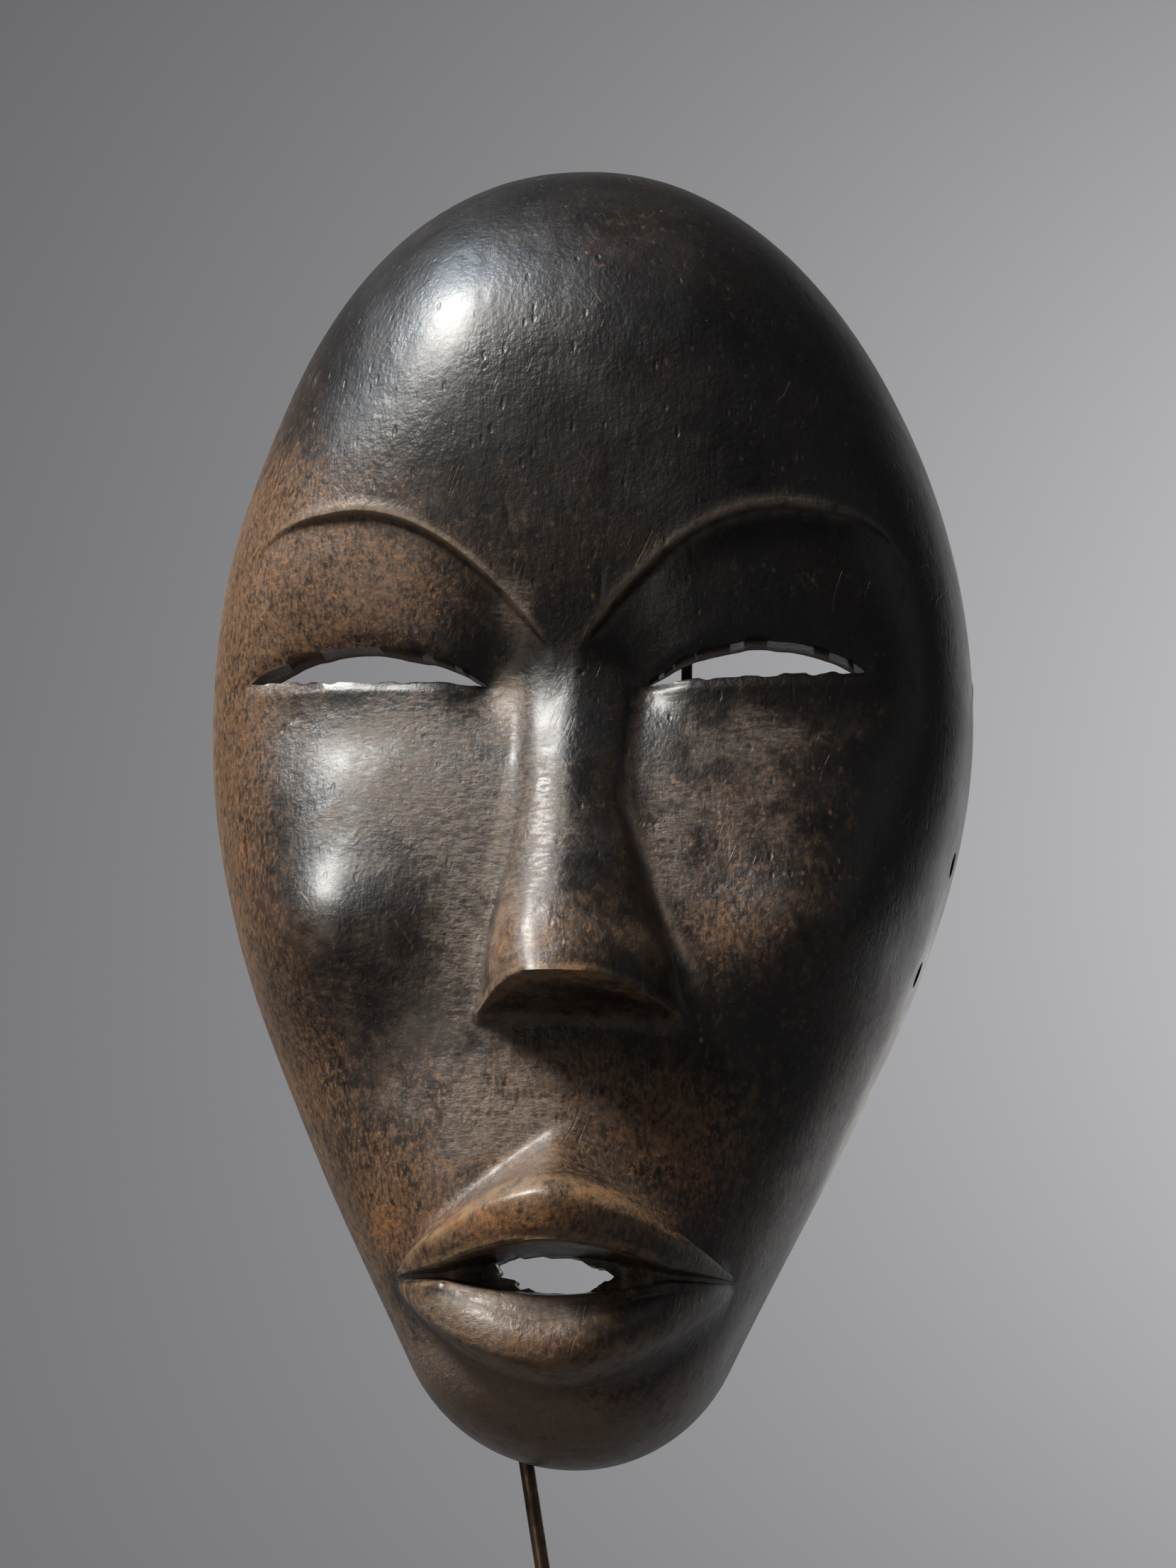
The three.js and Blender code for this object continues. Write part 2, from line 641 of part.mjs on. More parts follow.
const darkWood = new THREE.MeshStandardMaterial({ color: 0x2a1c14, roughness: 0.42, metalness: 0 });
const brownedSteel = new THREE.MeshStandardMaterial({ color: 0x4a3d30, roughness: 0.45, metalness: 0.9 });
const blackSteel = new THREE.MeshStandardMaterial({ color: 0x1c1b1a, roughness: 0.55, metalness: 0.8 });

const maskOnStand = new THREE.Group();
maskOnStand.add(
  overPlate(piece("mask", mask(), darkWood)),
  overPlate(piece("stand_rod", rod(), brownedSteel)),
  piece("stand_plate", plate(), blackSteel),
);

export default maskOnStand;
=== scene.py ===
"""A carved dan mask with a dark, worn patina, hung on a bent rod with a flat foot plate."""

import math

import bmesh
import bpy
import numpy as np
from mathutils import Matrix, Vector


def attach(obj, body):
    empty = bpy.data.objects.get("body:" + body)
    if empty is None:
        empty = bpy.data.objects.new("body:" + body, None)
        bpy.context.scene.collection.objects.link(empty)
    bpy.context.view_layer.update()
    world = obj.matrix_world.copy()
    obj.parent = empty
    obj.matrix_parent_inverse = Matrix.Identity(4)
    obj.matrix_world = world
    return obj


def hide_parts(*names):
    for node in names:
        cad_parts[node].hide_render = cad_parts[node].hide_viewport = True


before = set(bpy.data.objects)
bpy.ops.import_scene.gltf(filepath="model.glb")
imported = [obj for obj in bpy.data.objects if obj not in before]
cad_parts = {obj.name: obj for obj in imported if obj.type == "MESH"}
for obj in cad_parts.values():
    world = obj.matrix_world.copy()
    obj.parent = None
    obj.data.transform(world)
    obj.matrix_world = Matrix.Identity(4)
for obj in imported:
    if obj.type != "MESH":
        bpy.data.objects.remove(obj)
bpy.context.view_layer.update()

# The mask's own measures are millimetres: x to the viewer's right, depth forward from the rim's
# flat back, and height up from the chin. These two put it over the foot plate.
CHIN_HEIGHT = 118.0
RIM_SETBACK = 22.0

# The mask.
MASK_HEIGHT = 235.0
MASK_WIDTH = 136.0
FACE_DEPTH = 53.0
WIDEST_HEIGHT = 130.0
CHIN_RADIUS = 30.0
JAW_TAPER = math.radians(25.5)
CHIN_TOP = 60.0
FOREHEAD_FOOT = 116.0
FOREHEAD_TOP = 180.0
FOREHEAD_SWELL = 9.5
WALL = 7.0
RIM_WALL = 6.0
RIM_ROUND = 1.1
LASHING_HOLE = 4.5
LASHING_HEIGHTS = (84.5, 103.8)
LASHING_DEPTH = 12.0

# The lines of the face.
NOSE_ROOT, NOSE_WINGS, NOSE_BALL, NOSE_TIP, NOSE_FOOT = 136.0, 108.0, 98.0, 75.9, 71.5
NOSE_ROOT_DEPTH, NOSE_TIP_DEPTH, NOSE_FOOT_DEPTH = 49.2, 70.5, 54.0
BROW_PEAK, BROW_PEAK_SIDE, BROW_EDGE = 156.8, 39.0, 1.4
BROW_INNER, BROW_OUTER, BROW_INNER_DROP, BROW_OUTER_DROP = 4.0, 57.0, 21.4, 7.0
EYE_INNER, EYE_OUTER, EYE_LEAN, EYE_BAND = 13.5, 52.5, 3.0, 128.0
EYE_INNER_HEIGHT, EYE_OUTER_HEIGHT = 127.9, 130.8
CHEEKBONE_HEIGHT, CHEEK_HOLLOW_HEIGHT = 85.0, 66.0
MOUTH_CORNER, MOUTH_HEIGHT, MOUTH_HOLE = 27.3, 29.9, 9.0

# The lips' lines over and under the corners' height, and how far the lips stand out.
MUZZLE, CREST, SLIT_TOP = 24.3, 13.1, 3.1
SLIT_FOOT, LOWER_EDGE, LOWER_FOOT = 2.5, 6.5, 17.5
UPPER_LIP_DEPTH, LOWER_LIP_DEPTH, SLIT_DEPTH, LIP_ROLL = 15.5, 14.0, 2.0, 1.4
LIP_RIDGE, LIPS_PARTED = 1.8, 0.66

# The stand.
ROD, WIRE = 2.6, 2.0
LOOP_WIDTH, LOOP_DEPTH, LOOP_FOOT = 35.0, 9.0, 42.0
BRAZED_LENGTH, BEND_DROP, SEAT_DEPTH = 16.0, 57.0, 9.0
PLATE = Vector((110.0, 90.0, 12.0))
CLEARANCE = 0.3


def share(value):
    return np.clip(value, 0.0, 1.0)


def ease(value):
    value = share(value)
    return value * value * (3.0 - 2.0 * value)


def bell(value):
    return np.exp(-np.square(value))


def mix(low, high, t):
    return low + (high - low) * t


def dome(s, n):
    return (1.0 - share(s) ** n) ** (1.0 / n)


def swelling(s, p, q):
    return (1.0 - share(s) ** p) ** q


def filleted_max(a, b, width):
    near = np.maximum(0.0, width - np.abs(a - b)) / width
    return np.maximum(a, b) + near * near * width / 4.0


class Grain:
    """Smooth noise in space with a fixed seed: knots on a cubic lattice, blended between."""

    def __init__(self, seed):
        self.knots = np.random.default_rng(seed).uniform(-1.0, 1.0, (32, 32, 32))

    def at(self, x, depth, height, size):
        place = np.stack(np.broadcast_arrays(x, depth, height), -1) / np.asarray(size, float) + 500.37
        low = np.floor(place).astype(int)
        t = place - low
        t = t * t * t * (t * (6.0 * t - 15.0) + 10.0)
        value = 0.0
        for corner in np.ndindex(2, 2, 2):
            weight = np.prod(np.where(corner, t, 1.0 - t), -1)
            index = (low + corner) % 32
            value = value + weight * self.knots[index[..., 0], index[..., 1], index[..., 2]]
        return value * 1.6


# The outline of the rim and of the hollow.


def outline(inset):
    """Heights and half widths from chin to crown of the rim's outline, moved inwards by an inset."""
    side = MASK_WIDTH / 2 - inset
    crown = MASK_HEIGHT - WIDEST_HEIGHT - inset
    chin = CHIN_RADIUS - inset
    jaw = np.array([chin * math.cos(JAW_TAPER), CHIN_RADIUS - chin * math.sin(JAW_TAPER)])
    run = WIDEST_HEIGHT - jaw[1]
    away = np.array([math.sin(JAW_TAPER), math.cos(JAW_TAPER)])
    angle = np.linspace(-math.pi / 2, -JAW_TAPER, 120)
    arc = np.stack([chin * np.cos(angle), CHIN_RADIUS + chin * np.sin(angle)], 1)
    t = np.linspace(0.0, 1.0, 300)[:, None]
    low, pull, high = jaw, jaw + 0.31 * run * away, np.array([side, WIDEST_HEIGHT])
    top_pull = high - [0.0, 0.35 * run]
    curve = (1 - t) ** 3 * low + 3 * (1 - t) ** 2 * t * pull + 3 * (1 - t) * t * t * top_pull + t**3 * high
    angle = np.linspace(0.0, math.pi / 2, 300)
    temple = np.stack([side * np.cos(angle), WIDEST_HEIGHT + crown * np.sin(angle)], 1)
    points = np.concatenate([arc, curve[1:], temple[1:]])
    return points[:, 1], np.maximum(points[:, 0], 0.0)


RIM_OUTLINE = outline(0.0)
HOLLOW_OUTLINE = outline(RIM_WALL)


def half_width(height, of=RIM_OUTLINE):
    return np.interp(height, of[0], of[1])


def sway(height):
    """The sideways drift of the mask's middle line, which no hand-cut mask keeps straight."""
    jaw = 1.9 * bell((height - 15.0) / 60.0)
    crown = 1.3 * ease((height - 170.0) / 60.0)
    return 0.6 * bell((height - 140.0) / 35.0) - jaw - crown


# The carving, as depths over the rim's back.


def roundness(height):
    return 2.9 - 0.75 * ease((height - 138.0) / 50.0) - 0.4 * ease((50.0 - height) / 40.0)


def head_form(x, height, of, inset, wall):
    """The broad form that the face and the hollow share."""
    width = np.maximum(half_width(height, of), 1e-6)
    swell = FOREHEAD_SWELL * ease((height - FOREHEAD_FOOT) / (FOREHEAD_TOP - FOREHEAD_FOOT))
    crown = dome((height - FOREHEAD_TOP) / (MASK_HEIGHT - inset - FOREHEAD_TOP), 1.95)
    chin = dome((CHIN_TOP - height) / (CHIN_TOP - inset), 3.3)
    side = np.abs(x)
    section = dome(side / width, roundness(height))
    band = 3.6 * bell((height - EYE_BAND) / 14.0) * (1.0 - ease((side - 46.0) / 18.0))
    over = height - CHEEKBONE_HEIGHT
    cheekbone = 5.0 * bell((side - 45.0) / 18.0) * bell(over / np.where(over > 0.0, 19.0, 15.0))
    cheekbone = cheekbone + 4.0 * bell((side - 43.5) / 16.0) * bell(over / np.where(over > 0.0, 10.0, 14.0))
    cheek_hollow = 2.6 * bell((side - 33.0) / 16.0) * bell((height - CHEEK_HOLLOW_HEIGHT) / 13.0)
    relief = (cheekbone - band - cheek_hollow) * section
    return np.maximum(0.0, (FACE_DEPTH + swell - wall) * crown * chin * section + relief * crown * chin)


def brow_height(side):
    inner = BROW_INNER_DROP * ((BROW_PEAK_SIDE - side) / (BROW_PEAK_SIDE - BROW_INNER)) ** 2
    outer = BROW_OUTER_DROP * ((side - BROW_PEAK_SIDE) / (BROW_OUTER - BROW_PEAK_SIDE)) ** 4
    return BROW_PEAK - np.where(side < BROW_PEAK_SIDE, inner, outer)


def brow_relief(side, height):
    """A thin raised brow line with the eye's field a step behind it. Both run out over the nose."""
    below = brow_height(side) - height
    fade = ease((BROW_OUTER + 3.0 - side) / 22.0) * ease((side - 1.5) / 6.5)
    step = 1.5 + 1.2 * bell((side - 11.0) / 6.0)
    lid = 1.0 - 0.65 * ease(below / 20.0)
    crest = 0.35 * bell((below + 0.5) / 0.9) + 0.2 * bell((below + 0.25) / 0.45)
    pit = 2.5 * bell((side - 13.0) / 5.0) * bell((height - EYE_INNER_HEIGHT) / 6.0)
    return fade * (crest - step * ease(below / BROW_EDGE) * lid * ease((height - 100.0) / 22.0)) - pit


def nose_lines(side, height):
    """The half widths of the nose's ridge and of its foot."""
    fall = share((NOSE_ROOT - height) / (NOSE_ROOT - NOSE_TIP))
    ball = ease((NOSE_BALL - height) / (NOSE_BALL - NOSE_TIP))
    spread = share((NOSE_WINGS - height) / (NOSE_WINGS - NOSE_FOOT)) ** 1.15
    return mix(2.6, 6.6, 0.35 * fall + 0.65 * ball), 8.4 + (10.6 + 4.4 * np.sign(side)) * spread


def nose_drift(height):
    """How far the nose's bridge stands to the right of the face's middle."""
    return 1.6 * ease((height - NOSE_TIP) / 30.0) * ease((175.0 - height) / 35.0)


def nose_front(x, height):
    """Two broad planes that meet in a rounded ridge and turn down into steep sides."""
    off = x - nose_drift(height)
    ridge, foot = nose_lines(off, height)
    fall = share((NOSE_ROOT - height) / (NOSE_ROOT - NOSE_TIP))
    rise = mix(NOSE_ROOT_DEPTH, NOSE_TIP_DEPTH, fall**1.2)
    plane = 0.36 * (np.hypot(off, 0.8 * ridge) - 0.8 * ridge)
    reach = np.abs(off) / (foot + 1.5)
    flank = 1.0 - swelling(reach, 9.0 - 6.0 * fall**2, 1.0 + 0.2 * fall) + 2.0 * np.maximum(0.0, reach - 1.0)
    lump = 3.0 * bell((x - 16.0) / 4.5) * bell((height - 80.5) / 5.0)
    sunk = 1.6 * np.maximum(0.0, height - NOSE_ROOT)
    return rise - plane - (rise - NOSE_FOOT_DEPTH + 6.0) * flank - sunk + lump


def nose_depth(x, height):
    slope = (NOSE_TIP_DEPTH - NOSE_FOOT_DEPTH) / (NOSE_TIP - NOSE_FOOT)
    return np.minimum(nose_front(x, height), NOSE_FOOT_DEPTH + (height - NOSE_FOOT) * slope)


def nose_edge(x):
    ridge, foot = nose_lines(x, NOSE_TIP)
    return mix(NOSE_FOOT + 0.3, NOSE_TIP, share(1.0 - (np.abs(x) - ridge) / (foot - ridge)))


def lip_run(side):
    """How far out along the lips, from 0 in their rounded middle to 1 at the corners."""
    return share(np.hypot(side, LIP_RIDGE) / MOUTH_CORNER)


def mouth_lines(side):
    """Heights of the lines that the lips follow: muzzle, crest, slit's top and foot, lower edge and foot."""
    u = lip_run(side)
    parted = swelling(u / LIPS_PARTED, 1.9, 1.0)
    return (
        MOUTH_HEIGHT + 1.3 + (MUZZLE - 1.3) * swelling(u, 1.0, 1.05),
        MOUTH_HEIGHT + 0.8 + (CREST - 0.8) * swelling(u, 1.7, 0.9),
        MOUTH_HEIGHT + 0.3 + (SLIT_TOP - 0.3) * parted,
        MOUTH_HEIGHT - 0.3 - (SLIT_FOOT - 0.3) * parted,
        MOUTH_HEIGHT - 0.8 - (LOWER_EDGE - 0.8) * swelling(u, 1.5, 1.6),
        MOUTH_HEIGHT - 1.3 - (LOWER_FOOT - 1.3) * swelling(u, 1.7, 0.85),
    )


def mouth_relief(side, height):
    """The lips stand out: a muzzle up to the upper crest, two rolled lips and the slit between them."""
    muzzle, crest, slit_top, slit_foot, lower_edge, lower_foot = mouth_lines(side)
    u = lip_run(side)
    upper = UPPER_LIP_DEPTH * swelling(u, 1.5, 0.9)
    lower = LOWER_LIP_DEPTH * swelling(u, 1.9, 0.8)
    slit = mix(-SLIT_DEPTH, 0.4 * upper, ease((u - 0.36) / 0.28))
    roll = LIP_ROLL * swelling(u, 2.0, 1.0)

    def between(low, high):
        return share((height - low) / np.maximum(high - low, 1e-6))

    tent = upper * (1.0 - between(crest, muzzle)) ** 1.3
    tent = tent + 0.18 * bell((height - muzzle) / 0.8) * share(4.0 - 4.0 * u)
    t = between(slit_top, crest)
    upper_lip = mix(slit, upper * 0.88, ease(t / 0.16)) + (upper * 0.12 + roll * 4 * t * (1 - t)) * t**0.7
    t = between(lower_edge, slit_foot)
    lip_top = mix(slit, lower * (0.7 - 0.22 * t), ease((1.0 - t) / 0.3))
    t = 1.0 - between(lower_foot, lower_edge)
    rolled = 1.0 - 0.3 * np.square(1.0 - t / 0.66)
    full = np.where(t < 0.66, rolled, 0.2 + 0.8 * swelling((t - 0.66) / 0.34, 2.2, 0.7))
    lower_lip = (lower + roll) * full - roll * (1.0 - t) * 0.9
    under = lower_foot - height
    chin = lower * 0.2 * (1.0 - ease(under / 1.4)) - roll / LIP_ROLL * bell((under - 2.0) / 2.5)
    relief = np.select(
        [height >= line for line in (crest, slit_top, slit_foot, lower_edge, lower_foot)],
        [tent, upper_lip, slit, lip_top, lower_lip],
        chin,
    )
    return np.where(side < MOUTH_CORNER, relief, 0.0)


def face_depth(x, height):
    side = np.abs(x)
    form = head_form(x - sway(height), height, RIM_OUTLINE, 0.0, 0.0)
    rounded = sum(mouth_relief(side, height + off) for off in (-1.5, -0.8, 0.0, 0.8, 1.5)) / 5.0
    lips = mix(mouth_relief(side, height), rounded, ease((height - MOUTH_HEIGHT - 4.5) / 3.0))
    carved = form + brow_relief(side, height) * share(form / 20.0) + lips
    return np.maximum(0.0, filleted_max(carved, nose_depth(x, height), 3.0))


def hollow_depth(x, height):
    nose = 5.0 * bell(x / 10.0) * bell((height - 98.0) / 22.0)
    form = head_form(x - sway(height), height, HOLLOW_OUTLINE, RIM_WALL, WALL)
    return form + nose * share(form / 20.0)


# The rows and columns of the carved surface.


def row_lines(x):
    """Pairs of a line's height at x and the share of rows up to the next line."""
    side = np.abs(x)
    muzzle, crest, slit_top, slit_foot, lower_edge, lower_foot = mouth_lines(side)
    brow = brow_height(np.clip(side, BROW_INNER, BROW_OUTER))
    flat = np.zeros_like(side)
    return [
        (flat, 22),
        (flat + 8.0, 10),
        (lower_foot, 26),
        (lower_edge, 12),
        (slit_foot, 6),
        (slit_top, 6),
        (mix(slit_top, crest, 0.16), 18),
        (crest, 16),
        (muzzle, 18),
        (flat + NOSE_FOOT, 9),
        (nose_edge(x), 16),
        (flat + 88.0, 28),
        (flat + 121.0, 14),
        (flat + EYE_BAND, 20),
        (brow - BROW_EDGE, 8),
        (brow, 24),
        (flat + FOREHEAD_TOP, 26),
        (flat + 226.0, 22),
        (flat + MASK_HEIGHT, 0),
    ]


FACE_ROWS = sum(rows for _, rows in row_lines(np.zeros(1)))
RIDGE_COLUMNS, FLANK_COLUMNS, CHEEK_COLUMNS = 8, 16, 86
FACE_COLUMNS = RIDGE_COLUMNS + FLANK_COLUMNS + CHEEK_COLUMNS
RIM_COLUMNS = 6
HOLLOW_COLUMNS = 22


def row_height(row, x):
    """Heights on the face of each row. The end rows crowd towards the rim, where the form turns fast."""
    lines = row_lines(x)
    height = np.zeros_like(x)
    first = 0
    for k in range(len(lines) - 1):
        low, count = lines[k]
        high = lines[k + 1][0]
        t = (row - first) / count
        t = t * t if k == 0 else (1 - (1 - t) ** 2 if k == len(lines) - 2 else t)
        height = np.where((row >= first) & (row <= first + count), mix(low, high, t), height)
        first += count
    return height


def column_across(column, side, height):
    """Distances across of each column: through the nose's ridge and foot, out to the rim."""
    rim = half_width(height)
    above = ease((height - EYE_INNER_HEIGHT) / 80.0)
    ridge, foot = nose_lines(side, height)
    foot = np.minimum(mix(foot, 22.0, above), rim * 0.45)
    ridge = np.minimum(mix(ridge, 7.0, above), foot * 0.4)
    inner = ridge * column / RIDGE_COLUMNS
    flank = mix(ridge, foot, (column - RIDGE_COLUMNS) / FLANK_COLUMNS)
    t = share((column - RIDGE_COLUMNS - FLANK_COLUMNS) / CHEEK_COLUMNS)
    power = roundness(height) / 2
    start = np.arcsin(share(foot / np.maximum(rim, 1e-6)) ** power)
    cheek = rim * np.sin(mix(start, math.pi / 2, t)) ** (1 / power)
    cheek = mix(cheek, mix(foot, rim, np.sin(t * math.pi / 2)), 0.5)
    return np.where(
        column <= RIDGE_COLUMNS, inner, np.where(column <= RIDGE_COLUMNS + FLANK_COLUMNS, flank, cheek)
    )


def face_points(column, row):
    """x and height on the face of the crossings of columns and rows."""
    side = np.sign(column)
    x, height = np.zeros(column.shape), np.zeros(column.shape)
    for _ in range(14):
        height = row_height(row, x)
        across = column_across(np.abs(column), side, height)
        x = side * across + sway(height) + nose_drift(height) * ease((50.0 - across) / 36.0)
    return x, height


broad_grain, fine_grain, pit_grain = Grain(11), Grain(12), Grain(13)


def hand_relief(x, height):
    """What the hand and the years left on the face: soft knife facets, a fine scrape, pits and dents."""
    facets = 0.2 * broad_grain.at(x, 0.0, height, (15.0, 9.0, 19.0))
    scrape = 0.04 * fine_grain.at(x, 0.0, height, (3.2, 9.0, 6.5))
    tool = 0.02 * fine_grain.at(x + 40.0, 0.0, height, (1.3, 9.0, 1.9))
    rough = bell(x / 34.0) * bell((height - 60.0) / 13.0)
    coarse = 0.12 * rough * fine_grain.at(x, 9.0, height, (1.7, 9.0, 1.9))
    pits = -0.3 * ease((pit_grain.at(x, 0.0, height, (1.7, 9.0, 1.8)) - 1.18) / 0.3)
    return facets + scrape + tool + coarse + pits


def slit_wear(x, height):
    """The edges of the eye slits, rubbed round."""
    side = np.where(x < 0.0, -1.0, 1.0)
    t = (np.abs(x) - EYE_INNER) / (EYE_OUTER - side * EYE_LEAN - EYE_INNER)
    lower, upper = lid_heights(t)
    away = np.maximum(np.maximum(lower - height, height - upper), 0.0)
    ends = np.maximum(np.abs(t - 0.5) - 0.5, 0.0) * (EYE_OUTER - EYE_INNER)
    return 0.8 * bell(np.hypot(away, ends) / 0.9)


def gouges(x, height):
    """Shallow adze cuts across the hollow."""
    adze = 0.45 * broad_grain.at(x, 90.0, height, (8.0, 9.0, 13.0))
    return adze + 0.1 * fine_grain.at(x, 70.0, height, (2.5, 9.0, 5.0))


def mask_sheet(wrap, row):
    """x, depth and height of a sheet wrapped round the whole wall: face, rim, hollow and rim again."""
    face_end, rim_end = FACE_COLUMNS, FACE_COLUMNS + RIM_COLUMNS
    turn = rim_end + HOLLOW_COLUMNS
    side, place = np.sign(wrap), np.abs(wrap)

    x, height = face_points(side * np.minimum(place, face_end), row)
    depth = face_depth(x, height)
    depth = depth + hand_relief(x, height) * ease(depth / 9.0) - slit_wear(x, height)
    depth = np.where(place >= face_end, RIM_ROUND, np.maximum(depth, RIM_ROUND))

    low, high = RIM_WALL, MASK_HEIGHT - RIM_WALL
    inner_height = mix(low, high, row_height(row, np.full(row.shape, 70.0)) / MASK_HEIGHT)
    across = np.sin(share((turn - place) / HOLLOW_COLUMNS) * math.pi / 2)
    inner_x = side * half_width(inner_height, HOLLOW_OUTLINE) * across + sway(inner_height)
    inside = hollow_depth(inner_x, inner_height)
    inside = inside + gouges(inner_x, inner_height) * ease(inside / 9.0)
    inside = np.where(place <= rim_end, RIM_ROUND, np.maximum(inside, RIM_ROUND))

    # Across the rim the sheet turns over two rounded edges and a flat between them.
    k = share((place - face_end) / RIM_COLUMNS)
    stops = np.array([0.0, 0.17, 0.34, 0.5, 0.66, 0.83, 1.0])
    t = np.interp(k, stops, [0.0, 0.05, 0.19, 0.5, 0.81, 0.95, 1.0])
    rim_depth = RIM_ROUND * np.interp(k, stops, [1.0, 0.3, 0.0, 0.0, 0.0, 0.3, 1.0])
    on_face, in_hollow = place <= face_end, place >= rim_end
    return (
        np.where(on_face, x, np.where(in_hollow, inner_x, mix(x, inner_x, t))),
        np.where(on_face, depth, np.where(in_hollow, inside, rim_depth)),
        np.where(on_face, height, np.where(in_hollow, inner_height, mix(height, inner_height, t))),
    )


def in_world(x, depth, height):
    """The mask's own measures as places over the foot plate, in metres."""
    return np.stack(np.broadcast_arrays(x, RIM_SETBACK - depth, CHIN_HEIGHT + height), -1) / 1000.0


# Meshes.


def piece(name, bm, *materials):
    mesh = bpy.data.meshes.new(name)
    bm.to_mesh(mesh)
    bm.free()
    for material in materials:
        mesh.materials.append(material)
    obj = bpy.data.objects.new(name, mesh)
    bpy.context.scene.collection.objects.link(obj)
    return obj


def cut_or_join(obj, tools, operation):
    """Cuts or joins closed tool meshes into a piece, and clears the tools away."""
    for tool in tools:
        change = obj.modifiers.new("shape", "BOOLEAN")
        change.operation = operation
        change.solver = "MANIFOLD"
        change.object = tool
    shaped = obj.evaluated_get(bpy.context.evaluated_depsgraph_get())
    mesh = bpy.data.meshes.new_from_object(shaped)
    mesh.name = obj.name
    obj.modifiers.clear()
    obj.data = mesh
    for tool in tools:
        bpy.data.objects.remove(tool)
    return obj


def smooth_but_for(obj, degrees):
    """Smooth shading, broken at the edges that turn more sharply than this."""
    bm = bmesh.new()
    bm.from_mesh(obj.data)
    for face in bm.faces:
        face.smooth = True
    for edge in bm.edges:
        edge.smooth = edge.calc_face_angle(0.0) < math.radians(degrees)
    bm.to_mesh(obj.data)
    bm.free()


def through_cutter(name, outline_points, near, far):
    """A bar of this outline, x and height, that runs straight through the wall."""
    bm = bmesh.new()
    low = in_world(outline_points[:, 0], near, outline_points[:, 1])
    face = bm.faces.new([bm.verts.new(p) for p in low])
    grown = bmesh.ops.extrude_face_region(bm, geom=[face])["geom"]
    verts = [v for v in grown if isinstance(v, bmesh.types.BMVert)]
    bmesh.ops.translate(bm, verts=verts, vec=(0.0, (near - far) / 1000.0, 0.0))
    bmesh.ops.recalc_face_normals(bm, faces=bm.faces)
    return piece(name, bm)


def lid_heights(t):
    """Heights of an eye slit's lower and upper edges, t running out from the nose."""
    line = mix(EYE_INNER_HEIGHT, EYE_OUTER_HEIGHT, t)
    arch = np.maximum(np.sin(math.pi * share(t)), 0.0)
    return line - 0.5 * arch, line + 5.2 * arch**0.75


def eye_slit(side):
    t = np.linspace(0.0, 1.0, 60)
    x = side * mix(EYE_INNER, EYE_OUTER - side * EYE_LEAN, t)
    lower, upper = lid_heights(t)
    open_part = np.sin(math.pi * t) ** 0.4
    lower = lower + 0.3 * open_part * fine_grain.at(x, 3.0, lower, (1.6, 9.0, 9.0))
    upper = upper + 0.16 * open_part * fine_grain.at(x, 6.0, upper, (2.4, 9.0, 9.0))
    there, back = np.stack([x, upper], 1), np.stack([x, lower], 1)[-2:0:-1]
    return through_cutter("slit", np.concatenate([there, back]), 15.0, 78.0)


def mouth_hole():
    """Where the carver broke through into the hollow: a hole with torn edges."""
    corners = np.array(
        [(-1, 0.62), (-0.72, 1), (0.1, 1.02), (0.62, 0.5), (1, 0.02), (0.68, -0.7), (0.42, -1), (-0.2, -0.98)]
        + [(-0.66, -0.72), (-0.8, -0.28), (-1.06, 0.06)]
    )
    ring = np.concatenate([np.linspace(a, b, 7)[:-1] for a, b in zip(corners, np.roll(corners, -1, 0))])
    x, height = MOUTH_HOLE * ring[:, 0], MOUTH_HEIGHT + 0.25 + 3.05 * ring[:, 1]
    torn = 0.35 + 0.35 * (x < -5.0)
    x = x + torn * fine_grain.at(x, 40.0, height, (1.5, 9.0, 1.2))
    height = height + 0.22 * fine_grain.at(x, 50.0, height, (1.3, 9.0, 1.3))
    return through_cutter("hole", np.stack([x, height], 1), 20.0, 82.0)


def lashing_hole(side, height):
    bm = bmesh.new()
    size = {"radius1": LASHING_HOLE / 2000, "radius2": LASHING_HOLE / 2000, "depth": 0.024}
    bmesh.ops.create_cone(bm, cap_ends=True, segments=28, **size)
    reach = side * half_width(height) + sway(height)
    bmesh.ops.rotate(bm, verts=bm.verts, matrix=Matrix.Rotation(math.pi / 2, 3, "Y"))
    bmesh.ops.translate(bm, verts=bm.verts, vec=in_world(reach, LASHING_DEPTH, height))
    return piece("lashing", bm)


def carved_mask(material):
    turn = FACE_COLUMNS + RIM_COLUMNS + HOLLOW_COLUMNS
    bm = bmesh.new()
    bmesh.ops.create_grid(bm, x_segments=2 * turn, y_segments=FACE_ROWS, size=1.0)
    flat = np.array([v.co[:2] for v in bm.verts])
    wrap = np.round(flat[:, 0] * turn)
    row = np.round((flat[:, 1] + 1.0) / 2.0 * FACE_ROWS)
    for vert, place in zip(bm.verts, in_world(*mask_sheet(wrap, row))):
        vert.co = place
    bmesh.ops.remove_doubles(bm, verts=bm.verts, dist=1e-6)
    mask = piece("carved_mask", bm, material)
    tools = [eye_slit(-1), eye_slit(1), mouth_hole()]
    tools += [lashing_hole(side, height) for side in (-1, 1) for height in LASHING_HEIGHTS]
    cut_or_join(mask, tools, "DIFFERENCE")
    smooth_but_for(mask, 65.0)
    mark_surface(mask)
    return mask


